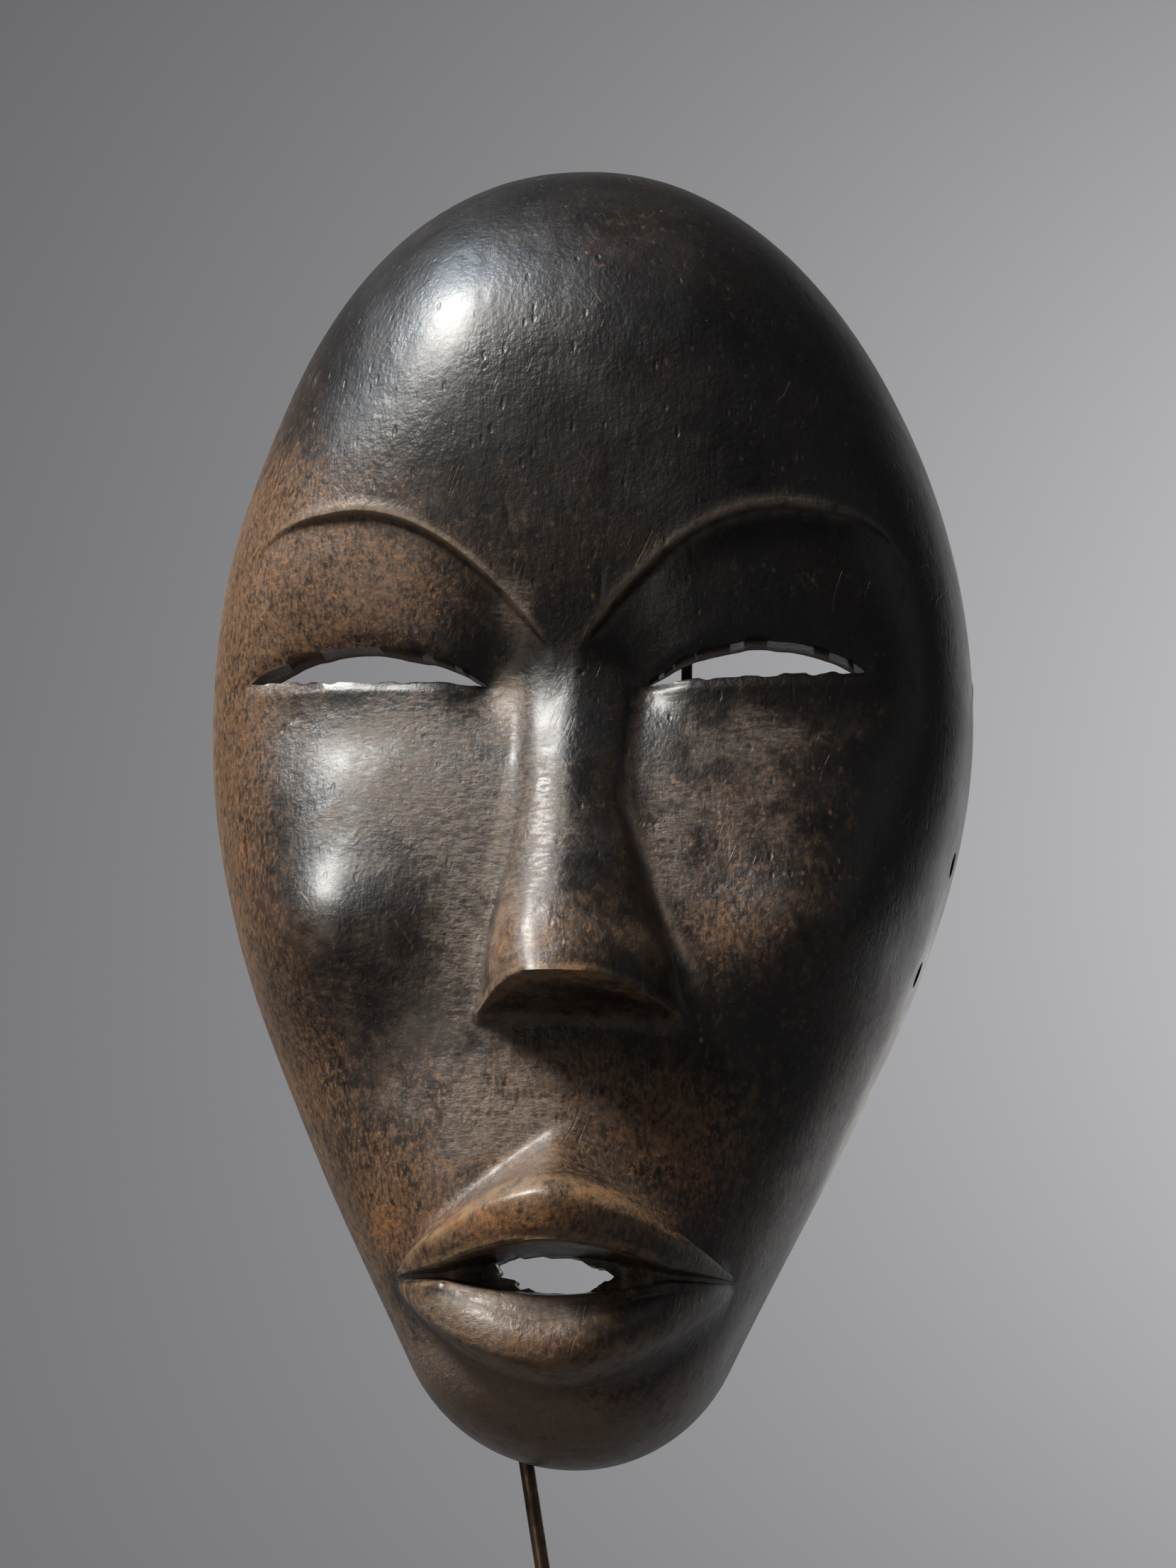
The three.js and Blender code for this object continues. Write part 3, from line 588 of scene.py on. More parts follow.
# Where the marks lie: each row is a soft spot's strength, x, height, and reach across and up.
WORN_SPOTS = (
    (0.9, -44, 152, 20, 18),
    (0.7, -34, 141, 22, 9),
    (0.3, -2, 150, 24, 10),
    (0.35, 5, 206, 14, 9),
    (0.65, -4, 58, 26, 11),
    (0.5, -8, 47, 14, 4),
    (1.0, -4, 37.5, 24, 5),
    (0.7, -29, 40, 10, 12),
    (0.5, -42, 64, 9, 20),
    (0.5, 27, 104, 16, 16),
    (0.5, 26, 84, 12, 9),
    (0.6, 22, 50, 12, 12),
    (0.3, 50, 60, 14, 40),
    (0.8, -6, 8, 26, 9),
    (0.6, -8, 20, 20, 7),
)
ORANGE_SPOTS = (
    (0.7, 22.4, 45, 3.6, 5),
    (0.6, -19, 60, 3.4, 4),
    (0.7, -29.5, 39, 3.6, 7),
    (0.5, -46, 63, 3, 9),
    (0.85, -6, 37.5, 20, 4.5),
    (0.75, 9, 42, 6, 1.1),
    (1.0, 4.7, 75.8, 3.6, 1.6),
    (0.6, -8.5, 80, 3, 3),
    (0.55, -1, 81.5, 5, 4),
    (0.6, 26, 84.6, 3.4, 2.6),
    (0.4, 6, 198, 6, 3),
    (0.55, -57, 101, 3, 8),
    (0.45, -54, 150, 6, 12),
    (0.32, -30, 147, 20, 8),
    (0.35, -26, 121, 12, 3),
)
CRUST_SPOTS = (
    (1.1, -8.5, 140, 3.4, 4),
    (0.4, -16, 147, 5, 3),
    (0.95, -10, 126, 3.5, 3.5),
    (0.5, -9.5, 121, 2.5, 5),
)
DUST_AND_PAINTED_LIGHT_SPOTS = (
    # Partly dust, partly a painted sheen on the left cheek's flat under the eye.
    (0.5, -30, 122, 19, 6),
    (0.3, 34, 120, 18, 5),
    (0.45, -16, 84, 5, 18),
    (0.4, 17, 98, 5, 22),
    (0.4, 29, 106, 15, 13),
    (0.35, 14, 82, 4, 4),
    # Partly dust, partly a painted sheen on the left cheek.
    (0.75, -26, 108, 20, 13),
    (0.3, -34, 76, 18, 14),
    (0.5, -5, 90, 9, 26),
    (0.35, -2, 104, 4, 18),
    (0.55, -6, 57, 24, 8),
    # These two rows on the lower lip are partly dust and partly a painted highlight.
    (0.7, -6, 25.5, 20, 3.4),
    (0.4, -12, 22, 9, 5),
    (0.4, -12, 48, 12, 4),
    # These four rows paint a lit diagonal band across the chin as pale dust: painted light.
    (1.0, -22, 17, 8, 4.6),
    (1.0, -13, 12.5, 8, 4.6),
    (1.0, -4, 9, 8, 4.6),
    (1.0, 5, 6, 8, 4.6),
)


def soft_spots(x, height, rows):
    return sum(
        strength * bell((x - across) / wide) * bell((height - up) / high)
        for strength, across, up, wide, high in rows
    )


def worn_places(x, height, depth):
    """Where handling and light have turned the patina brown."""
    left = 0.9 * ease((-x - 36.0) / 24.0) * bell((height - 118.0) / 72.0)
    lower = 0.05 + 0.14 * ease((114.0 - height) / 40.0)
    nose = soft_spots(x, height, [(0.75, -3, 82, 12, 8)]) * ease((depth - 55.0) / 6.0)
    return share(left + lower + nose + soft_spots(x, height, WORN_SPOTS))


def tan_lines(x, height):
    """The light lines of dust along the brow's edge and beside the nose's foot."""
    side = np.abs(x)
    below = brow_height(np.clip(side, 0.0, 58.0)) - height
    brow = bell((below + 0.1) / 0.62) * ease((56.0 - side) / 18.0) * ease((side - 3.0) / 4.0)
    brow = brow * np.where(x < 0.0, 1.0, 0.7)
    foot = nose_lines(x, height)[1] + 1.4
    beside = bell((side - foot) / 0.8) * ease((height - 74.0) / 8.0) * ease((118.0 - height) / 12.0)
    return share(brow + beside * np.where(x < 0.0, 0.75, 0.55))


def mark_surface(mask):
    """Point attributes that the patina reads: edges, creases, wear, dust with painted light, and the inside.
    """
    count = len(mask.data.vertices)
    place = np.empty(count * 3)
    mask.data.vertices.foreach_get("co", place)
    x, y, z = (place.reshape(-1, 3) * 1000.0).T
    depth, height = RIM_SETBACK - y, z - CHIN_HEIGHT
    own = face_depth(x, height)
    turns = np.arange(8) * math.pi / 4
    ring = sum(face_depth(x + 1.5 * np.cos(t), height + 1.5 * np.sin(t)) for t in turns) / len(turns)
    bend = (own - ring) * ease((own - 12.0) / 12.0)
    on_face = depth > own - 2.5
    marks = {
        "edge": ease(bend / 0.5) * on_face,
        "crease": ease(-bend / 0.5) * on_face,
        "worn": worn_places(x, height, depth) * on_face,
        "orange": share(soft_spots(x, height, ORANGE_SPOTS)) * on_face,
        "dust_and_painted_light": share(soft_spots(x, height, CRUST_SPOTS + DUST_AND_PAINTED_LIGHT_SPOTS)) * on_face,
        "line": tan_lines(x, height) * on_face,
        "inside": 1.0 - ease((depth - own + 4.0) / 1.6),
    }
    for name, values in marks.items():
        mask.data.attributes.new(name, "FLOAT", "POINT").data.foreach_set("value", values.astype(np.float32))


# The stand.


def drawn_bar(bm, path, radius, sides):
    """A round bar drawn along a path of world points, closed at both ends."""
    path = [Vector(p) for p in path]
    front = Vector((0.0, -1.0, 0.0))

    def frame_at(k):
        along = (path[min(k + 1, len(path) - 1)] - path[max(k - 1, 0)]).normalized()
        beside = front.cross(along).normalized()
        turn = Matrix((beside, along.cross(beside), along)).transposed()
        return Matrix.Translation(path[k]) @ turn.to_4x4()

    bmesh.ops.create_circle(bm, cap_ends=False, segments=sides, radius=radius, matrix=frame_at(0))
    ring = first = list(bm.edges)
    for k in range(1, len(path)):
        grown = bmesh.ops.extrude_edge_only(bm, edges=ring)["geom"]
        verts = [v for v in grown if isinstance(v, bmesh.types.BMVert)]
        ring = [e for e in grown if isinstance(e, bmesh.types.BMEdge) and all(v in verts for v in e.verts)]
        bmesh.ops.transform(bm, verts=verts, matrix=frame_at(k) @ frame_at(k - 1).inverted())
    bmesh.ops.holes_fill(bm, edges=first + ring, sides=sides)
    bmesh.ops.recalc_face_normals(bm, faces=bm.faces)


def bent(points, bend, steps=7):
    """The points of a path with each corner eased over the bend. Points are x, depth and height."""
    places = [Vector(p) for p in points]
    path = [places[0]]
    for before, corner, after in zip(places, places[1:], places[2:]):
        start = corner + (before - corner).normalized() * bend
        end = corner + (after - corner).normalized() * bend
        for k in range(steps + 1):
            t = k / steps
            path.append(start.lerp(corner, t).lerp(corner.lerp(end, t), t))
    path.append(places[-1])
    return [in_world(*p) for p in path]


def crown_inside(depth):
    """The height under the hollow's crown at a depth, where the wire carries the mask."""
    height = np.linspace(FOREHEAD_TOP, MASK_HEIGHT - RIM_WALL, 4000)
    return height[hollow_depth(np.zeros(4000), height) > depth][-1]


def stand_rod(material):
    leg = LOOP_WIDTH / 2
    behind = -(ROD / 2 + CLEARANCE)
    entry = RIM_WALL + CHIN_RADIUS / 3
    lean = -leg * (entry + BEND_DROP) / (LOOP_FOOT + BEND_DROP)
    foot = PLATE.z - CHIN_HEIGHT - SEAT_DEPTH + CLEARANCE
    stem = bmesh.new()
    stem_points = [
        (0.0, behind, foot),
        (0.0, behind, -BEND_DROP),
        (lean, behind, entry),
        (-leg, LOOP_DEPTH, LOOP_FOOT),
        (-leg, LOOP_DEPTH, LOOP_FOOT + BRAZED_LENGTH),
    ]
    drawn_bar(stem, bent(stem_points, ROD * 3), ROD / 2000, 24)
    top = crown_inside(LOOP_DEPTH - WIRE / 2) - WIRE / 2 - CLEARANCE
    turns = [math.pi * (1 - k / 6) for k in range(7)]
    arch = [(leg * math.cos(a), LOOP_DEPTH, top - leg + leg * math.sin(a)) for a in turns]
    loop_points = [
        (-leg, LOOP_DEPTH, LOOP_FOOT + BRAZED_LENGTH / 2),
        *arch,
        (leg, LOOP_DEPTH, LOOP_FOOT),
        (-leg, LOOP_DEPTH, LOOP_FOOT),
    ]
    loop = bmesh.new()
    drawn_bar(loop, bent(loop_points, leg / 6), WIRE / 2000, 20)
    rod = cut_or_join(piece("bent_rod", stem, material), [piece("loop", loop)], "UNION")
    smooth_but_for(rod, 50.0)
    return rod


def foot_plate(material):
    bm = bmesh.new()
    bmesh.ops.create_cube(bm, size=1.0)
    bmesh.ops.scale(bm, verts=bm.verts, vec=PLATE / 1000.0)
    bmesh.ops.translate(bm, verts=bm.verts, vec=(0.0, 0.0, PLATE.z / 2000.0))
    upright = [e for e in bm.edges if abs(e.verts[0].co.z - e.verts[1].co.z) > 1e-4]
    bmesh.ops.bevel(bm, geom=upright, offset=0.005, segments=8, affect="EDGES", profile=0.5, material=-1)
    around = [e for e in bm.edges if abs(e.verts[0].co.z - e.verts[1].co.z) < 1e-6]
    bmesh.ops.bevel(bm, geom=around, offset=0.001, segments=3, affect="EDGES", profile=0.5, material=-1)
    plate = piece("foot_plate", bm, material)
    bore = bmesh.new()
    radius = (ROD / 2 + CLEARANCE) / 1000.0
    size = {"radius1": radius, "radius2": radius, "depth": SEAT_DEPTH / 500}
    bmesh.ops.create_cone(bore, cap_ends=True, segments=32, **size)
    seat = Vector((0.0, (RIM_SETBACK + ROD / 2 + CLEARANCE) / 1000.0, PLATE.z / 1000.0))
    bmesh.ops.translate(bore, verts=bore.verts, vec=seat)
    cut_or_join(plate, [piece("bore", bore)], "DIFFERENCE")
    smooth_but_for(plate, 35.0)
    places = np.array([v.co[:] for v in plate.data.vertices])
    reach = np.abs(places - [0.0, 0.0, PLATE.z / 2000.0]) - PLATE / 2000.0 + 0.0012
    arris = (np.sum(reach > 0.0, 1) > 1).astype(np.float32)
    plate.data.attributes.new("edge", "FLOAT", "POINT").data.foreach_set("value", arris)
    return plate


# Finishes. Their sizes are millimetres, from Object coordinates.


class Tree:
    """A node tree, with short calls for the nodes that the finishes are built from."""

    def __init__(self, tree):
        self.tree = tree

    def fill(self, node, values):
        """Gives a node's inputs their values, and links those that come from another node."""
        for socket, value in dict(values).items():
            if isinstance(value, bpy.types.NodeSocket):
                self.tree.links.new(value, node.inputs[socket])
            else:
                node.inputs[socket].default_value = value
        return node

    def add(self, kind, values=(), out=0, **settings):
        made = self.tree.nodes.new(kind)
        for name, value in settings.items():
            setattr(made, name, value)
        return self.fill(made, values).outputs[out]

    def math(self, operation, *values, clamp=False):
        return self.add("ShaderNodeMath", enumerate(values), operation=operation, use_clamp=clamp)

    def ramp(self, value, low, high, to_low=0.0, to_high=1.0):
        """Eases a value from one range into another."""
        values = {"Value": value, 1: low, 2: high, 3: to_low, 4: to_high}
        return self.add("ShaderNodeMapRange", values, interpolation_type="SMOOTHSTEP")

    def noise(self, place, size, detail=3.0, rough=0.55):
        values = {"Vector": place, "Scale": 1.0 / size, "Detail": detail, "Roughness": rough}
        return self.add("ShaderNodeTexNoise", values)

    def stretched(self, place, size, turn=(0.0, 0.0, 0.0)):
        """The place squeezed to these sizes along its axes, after a turn."""
        values = {"Vector": place, "Rotation": turn}
        turned = self.add("ShaderNodeVectorRotate", values, rotation_type="EULER_XYZ")
        scale = tuple(1.0 / value for value in size)
        return self.add("ShaderNodeVectorMath", {0: turned, 1: scale}, operation="MULTIPLY")

    def colour(self, mask, low, high):
        return self.add("ShaderNodeMix", {0: mask, 6: low, 7: high}, out=2, data_type="RGBA")

    def laid(self, colour, mask, strength, over):
        """A colour with another laid over it where the mask is, as strongly as this."""
        return self.colour(self.math("MULTIPLY", mask, strength), colour, over)

    def mark(self, name):
        """A point attribute of the mesh."""
        return self.add("ShaderNodeAttribute", out=2, attribute_name=name)

    def call(self, group, **values):
        made = self.tree.nodes.new("ShaderNodeGroup")
        made.node_tree = group
        return self.fill(made, values).outputs[0]

    def bump(self, height):
        """Relief of this height in millimetres."""
        return self.add("ShaderNodeBump", {"Strength": 1.0, "Distance": 0.001, "Height": height})


def effect(name, inputs, output):
    """An empty node group with these inputs and one output, which is a mask or a height."""
    group = bpy.data.node_groups.new(name, "ShaderNodeTree")
    for socket, value in inputs.items():
        kind = "NodeSocketVector" if socket == "Place" else "NodeSocketFloat"
        made = group.interface.new_socket(socket, in_out="INPUT", socket_type=kind)
        if socket != "Place":
            made.default_value = value
    group.interface.new_socket(output, in_out="OUTPUT", socket_type="NodeSocketFloat")
    tree = Tree(group)
    entry = group.nodes.new("NodeGroupInput")
    end = group.nodes.new("NodeGroupOutput")
    return group, tree, entry.outputs, lambda value: group.links.new(value, end.inputs[0])


def make_patches():
    """Cloudy patches with broken edges. Share is how much of the surface they cover."""
    inputs = {"Place": None, "Size": 8.0, "Share": 0.5, "Soft": 0.1}
    group, tree, given, done = effect("patches", inputs, "Mask")
    scale = tree.math("DIVIDE", 1.0, given["Size"])
    values = {"Vector": given["Place"], "Scale": scale, "Detail": 7.0, "Roughness": 0.66}
    cloud = tree.add("ShaderNodeTexNoise", values)
    edge = tree.add("ShaderNodeMapRange", {"Value": given["Share"], 3: 0.76, 4: 0.24})
    low, high = tree.math("SUBTRACT", edge, given["Soft"]), tree.math("ADD", edge, given["Soft"])
    done(tree.ramp(cloud, low, high))
    return group


def make_scratches():
    """Hair-thin scratches that run one way, with gaps."""
    inputs = {"Place": None, "Spacing": 5.0, "Turn": 0.0, "Share": 0.4}
    group, tree, given, done = effect("scratches", inputs, "Mask")
    values = {"Vector": given["Place"], "Axis": (0.0, 1.0, 0.0), "Angle": given["Turn"]}
    turned = tree.add("ShaderNodeVectorRotate", values)
    scale = tree.math("DIVIDE", 1.0, given["Spacing"])
    long_way = tree.add("ShaderNodeVectorMath", {0: turned, 1: (1.0, 0.3, 0.07)}, operation="MULTIPLY")
    values = {"Vector": long_way, "Scale": scale, "Detail": 2.5, "Roughness": 0.5}
    wave = tree.add("ShaderNodeTexNoise", values)
    line = tree.ramp(tree.math("ABSOLUTE", tree.math("SUBTRACT", wave, 0.52)), 0.0, 0.012, 1.0, 0.0)
    values = {"Vector": given["Place"], "Scale": tree.math("MULTIPLY", scale, 0.45), "Detail": 3.0}
    gaps = tree.add("ShaderNodeTexNoise", values)
    edge = tree.math("SUBTRACT", 0.72, tree.math("MULTIPLY", given["Share"], 0.4))
    done(tree.math("MULTIPLY", line, tree.ramp(gaps, edge, tree.math("ADD", edge, 0.08))))
    return group


def make_specks():
    """Small round specks or pits, scattered."""
    group, tree, given, done = effect("specks", {"Place": None, "Size": 3.0, "Share": 0.3}, "Mask")
    scale = tree.math("DIVIDE", 1.0, given["Size"])
    cells = tree.tree.nodes.new("ShaderNodeTexVoronoi")
    tree.fill(cells, {"Vector": given["Place"], "Scale": scale})
    dot = tree.ramp(cells.outputs["Distance"], 0.1, 0.3, 1.0, 0.0)
    chance = tree.add("ShaderNodeSeparateXYZ", {"Vector": cells.outputs["Color"]})
    kept = tree.math("LESS_THAN", chance, given["Share"])
    done(tree.math("MULTIPLY", dot, kept))
    return group


patches, scratches, specks = make_patches(), make_scratches(), make_specks()


def finish(name):
    """A new material with its tree, its shader and the place on the piece in millimetres."""
    material = bpy.data.materials.new(name)
    material.use_nodes = True
    tree = Tree(material.node_tree)
    shader = material.node_tree.nodes["Principled BSDF"]
    place = tree.add("ShaderNodeTexCoord", out=3)
    place = tree.add("ShaderNodeVectorMath", {0: place, 1: (1000.0, 1000.0, 1000.0)}, operation="MULTIPLY")
    return material, tree, shader, place


def rgb(r, g, b):
    return (r, g, b, 1.0)


def patinated_wood():
    """Blackened hardwood, handled to a gloss: worn brown, with dust in the creases, paler inside. Some of the
    pale dust is painted light.
    """
    material, tree, shader, place = finish("patinated_wood")
    worn, orange, dust_and_painted_light, line = (tree.mark(name) for name in ("worn", "orange", "dust_and_painted_light", "line"))
    edge, crease, inside = tree.mark("edge"), tree.mark("crease"), tree.mark("inside")

    # The dark patina, cloudy from near black to deep brown.
    clouds = tree.call(patches, Place=place, Size=20.0, Share=0.45, Soft=0.2)
    colour = tree.colour(clouds, rgb(0.0036, 0.0032, 0.0038), rgb(0.0095, 0.006, 0.0046))

    # Brown wood that the wear lets through: a soft tint first, then a fine broken grain of it.
    tint = tree.math("MULTIPLY", worn, tree.call(patches, Place=place, Size=6.0, Share=0.52, Soft=0.16))
    colour = tree.laid(colour, tint, 0.7, rgb(0.055, 0.032, 0.0205))
    grain_place = tree.stretched(place, (1.0, 1.0, 1.7))
    much = tree.ramp(worn, 0.0, 1.0, 0.1, 0.56)
    rubbed = tree.call(patches, Place=grain_place, Size=1.4, Share=much, Soft=0.14)
    colour = tree.laid(colour, rubbed, 0.65, rgb(0.115, 0.066, 0.039))
    little = tree.ramp(worn, 0.2, 1.0, 0.04, 0.48)
    bare = tree.call(patches, Place=grain_place, Size=0.7, Share=little, Soft=0.1)
    colour = tree.laid(colour, bare, 0.65, rgb(0.2, 0.105, 0.052))

    # Small places worn right down to orange wood, in flecks.
    raw = tree.call(patches, Place=place, Size=1.5, Share=tree.ramp(orange, 0.0, 1.0, 0.0, 0.62), Soft=0.1)
    raw = tree.math("MULTIPLY", raw, tree.call(patches, Place=place, Size=0.7, Share=0.62, Soft=0.12))
    colour = tree.laid(colour, raw, 0.8, rgb(0.3, 0.125, 0.042))

    # Edges handled down to golden brown.
    handled = tree.math("MULTIPLY", edge, tree.call(patches, Place=place, Size=2.6, Share=0.55, Soft=0.15))
    handled = tree.math("MULTIPLY", handled, tree.ramp(worn, 0.05, 0.6, 0.12, 0.75))
    colour = tree.colour(handled, colour, rgb(0.26, 0.155, 0.08))

    # Tan dust that lies in the creases, along the brow line and in crusts round the inner corners. The same
    # pale film also paints light: a lit band across the chin, and, partly, a sheen on the left cheek and a
    # highlight on the lower lip.
    dust_film_and_painted_light = tree.call(patches, Place=place, Size=6.0, Share=tree.ramp(dust_and_painted_light, 0.0, 1.0, 0.25, 0.95), Soft=0.14)
    hatch = tree.math(
        "MAXIMUM",
        tree.call(patches, Place=tree.stretched(place, (3.0, 3.0, 1.0)), Size=0.7, Share=0.5, Soft=0.2),
        tree.call(scratches, Place=place, Spacing=1.7, Turn=1.4, Share=0.55),
    )
    hatch = tree.math("MAXIMUM", hatch, tree.ramp(dust_and_painted_light, 0.6, 1.0, 0.15, 0.7))
    dust_film_and_painted_light = tree.math("MULTIPLY", tree.math("MULTIPLY", dust_film_and_painted_light, hatch), tree.ramp(dust_and_painted_light, 0.0, 0.35))
    colour = tree.laid(colour, dust_film_and_painted_light, tree.ramp(dust_and_painted_light, 0.0, 1.0, 0.3, 0.9), rgb(0.22, 0.165, 0.125))
    in_crease = tree.math("MULTIPLY", crease, tree.call(patches, Place=place, Size=2.2, Share=0.5, Soft=0.2))
    colour = tree.laid(colour, in_crease, 0.45, rgb(0.13, 0.095, 0.07))
    along = tree.math("MULTIPLY", line, tree.call(patches, Place=place, Size=3.0, Share=0.7, Soft=0.16))
    colour = tree.laid(colour, along, 0.85, rgb(0.3, 0.24, 0.185))

    # Scratches both ways, chips down to the wood, and bright flecks in clusters.
    scores = tree.math(
        "MAXIMUM",
        tree.call(scratches, Place=place, Spacing=6.0, Turn=0.6, Share=0.3),
        tree.call(scratches, Place=place, Spacing=4.5, Turn=-0.35, Share=0.36),
    )
    colour = tree.laid(colour, scores, 0.25, rgb(0.15, 0.11, 0.08))
    chips = tree.call(patches, Place=place, Size=1.1, Share=tree.ramp(worn, 0.0, 1.0, 0.08, 0.26), Soft=0.04)
    colour = tree.laid(colour, chips, 0.75, rgb(0.28, 0.14, 0.055))
    flecks = tree.call(specks, Place=tree.stretched(place, (1.0, 1.0, 1.5)), Size=1.5, Share=0.3)
    flecks = tree.math("MULTIPLY", flecks, tree.call(patches, Place=place, Size=7.0, Share=0.34, Soft=0.12))
    flecks = tree.math("MULTIPLY", flecks, tree.ramp(worn, 0.0, 0.35, 0.2, 0.8))
    colour = tree.colour(flecks, colour, rgb(0.3, 0.145, 0.055))

    # The hollow was never blackened: bare brown wood with a long grain.
    long_grain = tree.noise(tree.stretched(place, (2.0, 2.0, 14.0)), 1.0)
    bare_wood = tree.colour(long_grain, rgb(0.09, 0.052, 0.03), rgb(0.19, 0.118, 0.07))
    colour = tree.colour(inside, colour, bare_wood)

    # The gloss changes slowly over the face. Dust and bare wood are dull, and have no coat of wax.
    gloss = tree.noise(place, 14.0, 4.0, 0.6)
    rough = tree.ramp(gloss, 0.3, 0.7, 0.36, 0.5)
    rough = tree.math("ADD", rough, tree.math("MULTIPLY", tint, 0.08))
    dull = tree.math("MAXIMUM", tree.math("MULTIPLY", dust_film_and_painted_light, tree.ramp(dust_and_painted_light, 0.0, 0.8)), inside)
    rough = tree.math("MAXIMUM", rough, tree.math("MULTIPLY", dull, 0.78))
    coat = tree.math("MULTIPLY", tree.math("SUBTRACT", 1.0, dull, clamp=True), 0.3)

    # The skin: fibres, a fine and a broader unevenness, scratches, dust and pores.
    fibre = tree.noise(tree.stretched(place, (0.9, 0.9, 7.0)), 1.0, 4.0, 0.6)
    skin = tree.noise(place, 0.9, 3.0, 0.6)
    height = tree.math("ADD", tree.math("MULTIPLY", fibre, 0.08), tree.math("MULTIPLY", skin, 0.15))
    height = tree.math("ADD", height, tree.math("MULTIPLY", tree.noise(place, 3.2, 2.0, 0.5), 0.16))
    height = tree.math("SUBTRACT", height, tree.math("MULTIPLY", scores, 0.05))
    dust = tree.math("MULTIPLY", dull, tree.math("MULTIPLY", tree.noise(place, 0.7), 0.2))
    height = tree.math("ADD", height, dust)
    pores = tree.call(specks, Place=tree.stretched(place, (1.0, 1.0, 2.4)), Size=1.7, Share=0.22)
    height = tree.math("SUBTRACT", height, tree.math("MULTIPLY", pores, 0.1))

    look = {"Base Color": colour, "Roughness": rough, "IOR": 1.45, "Normal": tree.bump(height)}
    tree.fill(shader, {**look, "Coat Weight": coat, "Coat Roughness": 0.27})
    return material


def browned_steel():
    """Steel rod browned by heat and hands, with dull spots."""
    material, tree, shader, place = finish("browned_steel")
    spots = tree.call(patches, Place=place, Size=5.0, Share=0.5, Soft=0.2)
    colour = tree.colour(spots, rgb(0.075, 0.05, 0.033), rgb(0.17, 0.12, 0.08))
    rust = tree.call(specks, Place=place, Size=2.4, Share=0.3)
    colour = tree.laid(colour, rust, 0.6, rgb(0.09, 0.035, 0.014))
    drawn = tree.noise(tree.stretched(place, (0.25, 0.25, 6.0)), 1.0, 2.0, 0.5)
    scores = tree.call(scratches, Place=place, Spacing=1.6, Turn=0.05, Share=0.5)
    height = tree.math("SUBTRACT", tree.math("MULTIPLY", drawn, 0.02), tree.math("MULTIPLY", scores, 0.02))
    rough = tree.ramp(spots, 0.0, 1.0, 0.5, 0.34)
    look = {"Base Color": colour, "Roughness": rough, "Normal": tree.bump(height)}
    tree.fill(shader, {**look, "Metallic": 0.9})
    return material


def blackened_steel():
    """Flat steel, blackened and waxed, with rubbed arrises and light scratches."""
    material, tree, shader, place = finish("blackened_steel")
    clouds = tree.call(patches, Place=place, Size=18.0, Share=0.5, Soft=0.25)
    colour = tree.colour(clouds, rgb(0.018, 0.017, 0.017), rgb(0.04, 0.036, 0.034))
    scores = tree.math(
        "MAXIMUM",
        tree.call(scratches, Place=place, Spacing=9.0, Turn=0.9, Share=0.35),
        tree.call(scratches, Place=place, Spacing=12.0, Turn=-0.5, Share=0.3),
    )
    broken = tree.call(patches, Place=place, Size=4.0, Share=0.6, Soft=0.2)
    rubbed = tree.math("MULTIPLY", tree.mark("edge"), broken)
    colour = tree.laid(colour, tree.math("MAXIMUM", scores, rubbed), 0.6, rgb(0.2, 0.19, 0.18))
    grit = tree.noise(place, 0.8, 3.0, 0.6)
    height = tree.math("SUBTRACT", tree.math("MULTIPLY", grit, 0.03), tree.math("MULTIPLY", scores, 0.03))
    rough = tree.ramp(tree.noise(place, 22.0, 3.0), 0.35, 0.65, 0.36, 0.52)
    look = {"Base Color": colour, "Roughness": rough, "Normal": tree.bump(height)}
    tree.fill(shader, {**look, "Metallic": 0.7})
    return material


# The mask and its stand.

for made, node, slot in (
    (carved_mask(patinated_wood()), "mask", "dark_wood"),
    (stand_rod(browned_steel()), "stand_rod", "rod_metal"),
    (foot_plate(blackened_steel()), "stand_plate", "plate_metal"),
):
    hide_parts(node)
    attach(made, "root")


# The studio: a pale sweep, soft lights and the camera.


def sweep():
    """The floor and the wall behind in one smooth sweep."""
    bm = bmesh.new()
    bmesh.ops.create_grid(bm, x_segments=1, y_segments=60, size=1.0)
    front, bend, radius, top, half = -1.6, 0.6, 0.8, 2.4, 2.2
    for vert in bm.verts:
        t = (vert.co.y + 1.0) / 2.0
        if t < 0.4:
            y, z = mix(front, bend, t / 0.4), 0.0
        elif t < 0.75:
            turn = (t - 0.4) / 0.35 * math.pi / 2
            y, z = bend + radius * math.sin(turn), radius - radius * math.cos(turn)
        else:
            y, z = bend + radius, mix(radius, top, (t - 0.75) / 0.25)
        vert.co = (vert.co.x * half, y, z)
    for face in bm.faces:
        face.smooth = True
    return bm


def pale_paper():
    material = bpy.data.materials.new("pale_paper")
    material.use_nodes = True
    shader = material.node_tree.nodes["Principled BSDF"]
    shader.inputs["Base Color"].default_value = (0.36, 0.36, 0.37, 1.0)
    shader.inputs["Roughness"].default_value = 0.85
    return material


def soft_light(name, place, target, width, power, colour, spread, lit=None):
    """A square soft light. With a collection it lights only what the collection lets it."""
    light = bpy.data.lights.new(name, "AREA")
    light.size = width
    light.energy = power
    light.color = colour
    light.spread = math.radians(spread)
    obj = bpy.data.objects.new(name, light)
    obj.location = place
    obj.rotation_euler = (Vector(target) - Vector(place)).to_track_quat("-Z", "Y").to_euler()
    obj.light_linking.receiver_collection = lit
    bpy.context.scene.collection.objects.link(obj)


def facing(azimuth, elevation):
    """The way out from the mask at these angles in degrees. Azimuth 0 is straight ahead."""
    a, e = math.radians(azimuth), math.radians(elevation)
    return Vector((math.sin(a) * math.cos(e), -math.cos(a) * math.cos(e), math.sin(e)))


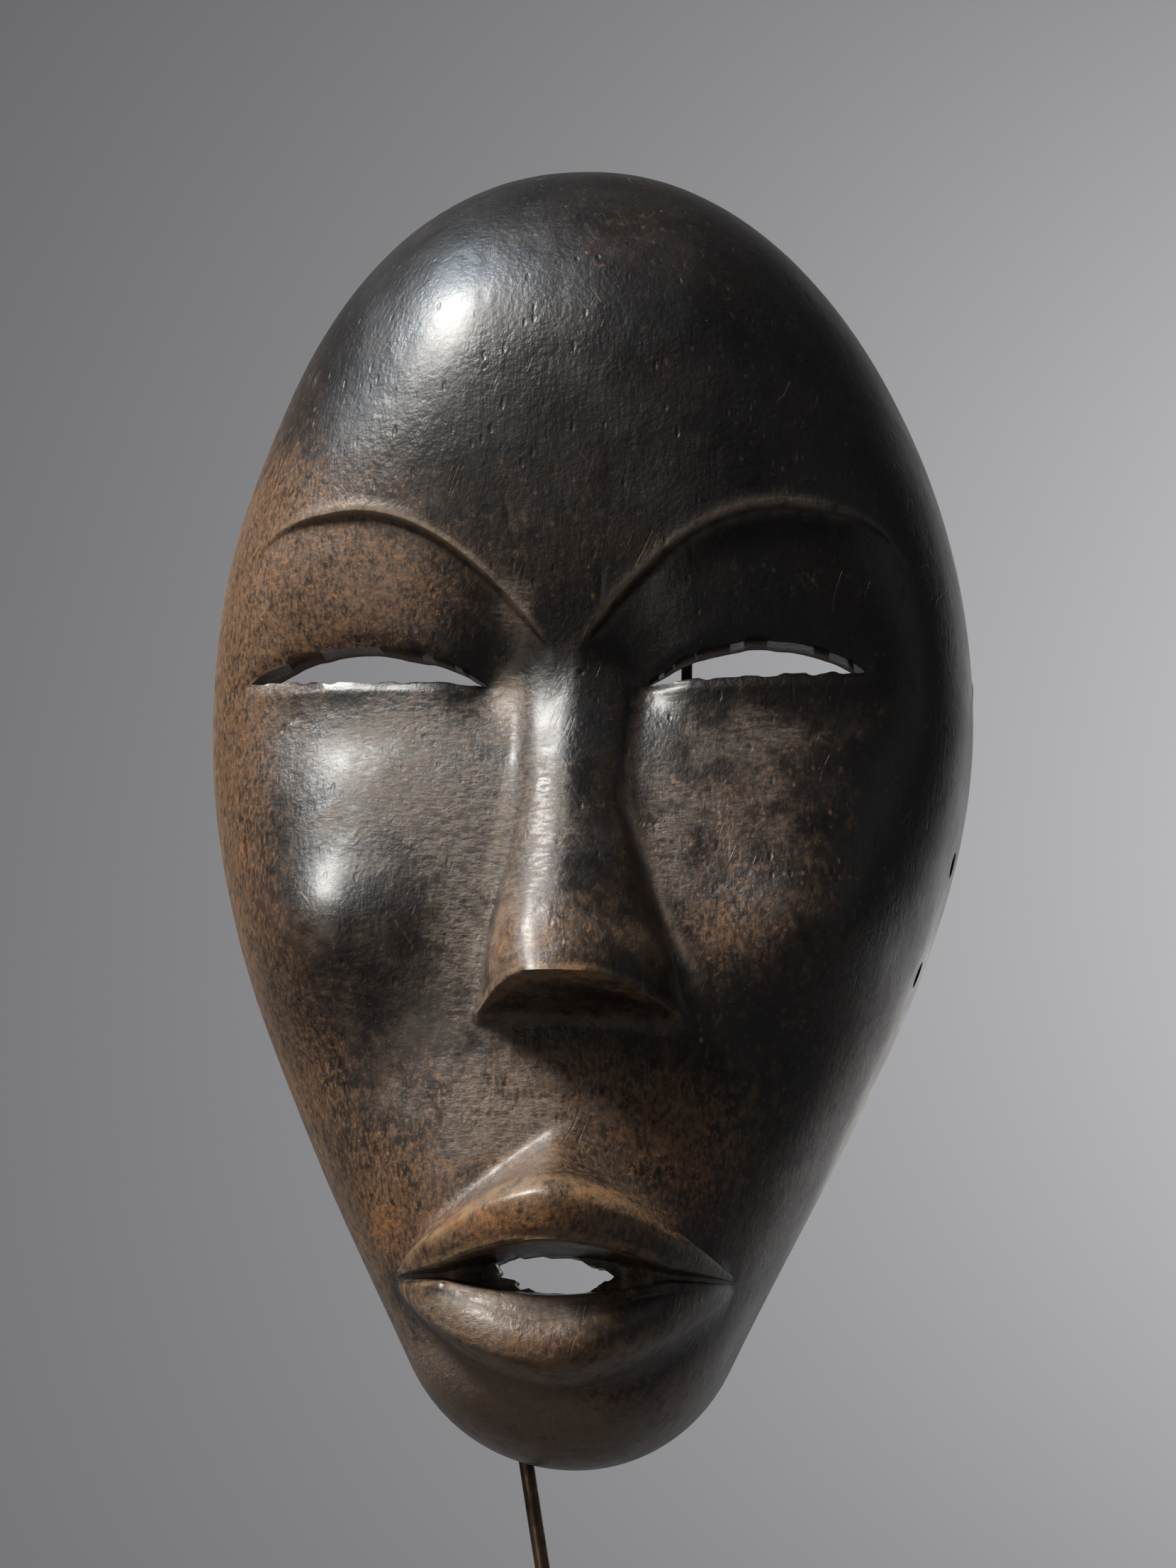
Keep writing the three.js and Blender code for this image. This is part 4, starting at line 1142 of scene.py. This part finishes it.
def set_camera():
    """Just below the chin, looking up, a few degrees to the mask's left."""
    camera = bpy.data.cameras.new("camera")
    camera.lens, camera.sensor_width, camera.sensor_fit = 70.0, 36.0, "AUTO"
    camera.clip_start = 0.01
    back = facing(5.62, -12.96)
    obj = bpy.data.objects.new("camera", camera)
    turn = back.to_track_quat("Z", "Y").to_matrix() @ Matrix.Rotation(math.radians(0.76), 3, "Z")
    obj.matrix_world = Matrix.Translation(Vector((0.002, -0.008, 0.2328)) + 0.523 * back) @ turn.to_4x4()
    bpy.context.scene.collection.objects.link(obj)
    bpy.context.scene.camera = obj


def from_mask(azimuth, elevation, distance):
    """A place this far from the middle of the face."""
    return Vector(FACE_PLACE) + distance * facing(azimuth, elevation)


FACE_PLACE = (0.0, -0.02, 0.24)
paper = piece("sweep", sweep(), pale_paper())
kept_dark = bpy.data.collections.new("kept_dark")
kept_dark.objects.link(paper)
kept_dark.collection_objects[0].light_linking.link_state = "EXCLUDE"
paper_only = bpy.data.collections.new("paper_only")
paper_only.objects.link(paper)

# The window and the sky give the highlights, and the others fill. The last two light the paper.
soft_light("window", from_mask(-52.0, 45.0, 1.1), FACE_PLACE, 0.34, 2.6, (1.0, 0.95, 0.87), 60.0, kept_dark)
soft_light("sky", from_mask(-62.0, 52.0, 1.1), FACE_PLACE, 0.62, 1.25, (0.5, 0.74, 1.0), 70.0, kept_dark)
soft_light("room", from_mask(78.0, 12.0, 1.3), FACE_PLACE, 0.8, 0.05, (0.95, 0.95, 1.0), 60.0, kept_dark)
soft_light("table", from_mask(-34.0, -9.0, 0.8), FACE_PLACE, 0.26, 0.6, (1.0, 0.88, 0.74), 180.0, kept_dark)
soft_light("back", (0.1, 1.1, 0.12), FACE_PLACE, 0.5, 1.0, (1.0, 0.96, 0.9), 180.0, kept_dark)
soft_light("wall", (1.3, 0.45, 0.65), (0.2, 1.4, 0.45), 0.6, 10.5, (1.0, 1.0, 1.0), 100.0)
soft_light("floor", (0.0, -0.3, 1.9), (0.0, -0.1, 0.0), 1.2, 10.0, (1.0, 1.0, 1.0), 180.0, paper_only)
world = bpy.data.worlds.new("studio")
world.use_nodes = True
world.node_tree.nodes["Background"].inputs["Color"].default_value = (0.9, 0.95, 1.0, 1.0)
world.node_tree.nodes["Background"].inputs["Strength"].default_value = 0.045
bpy.context.scene.world = world
bpy.context.scene.view_settings.view_transform = "Standard"
set_camera()
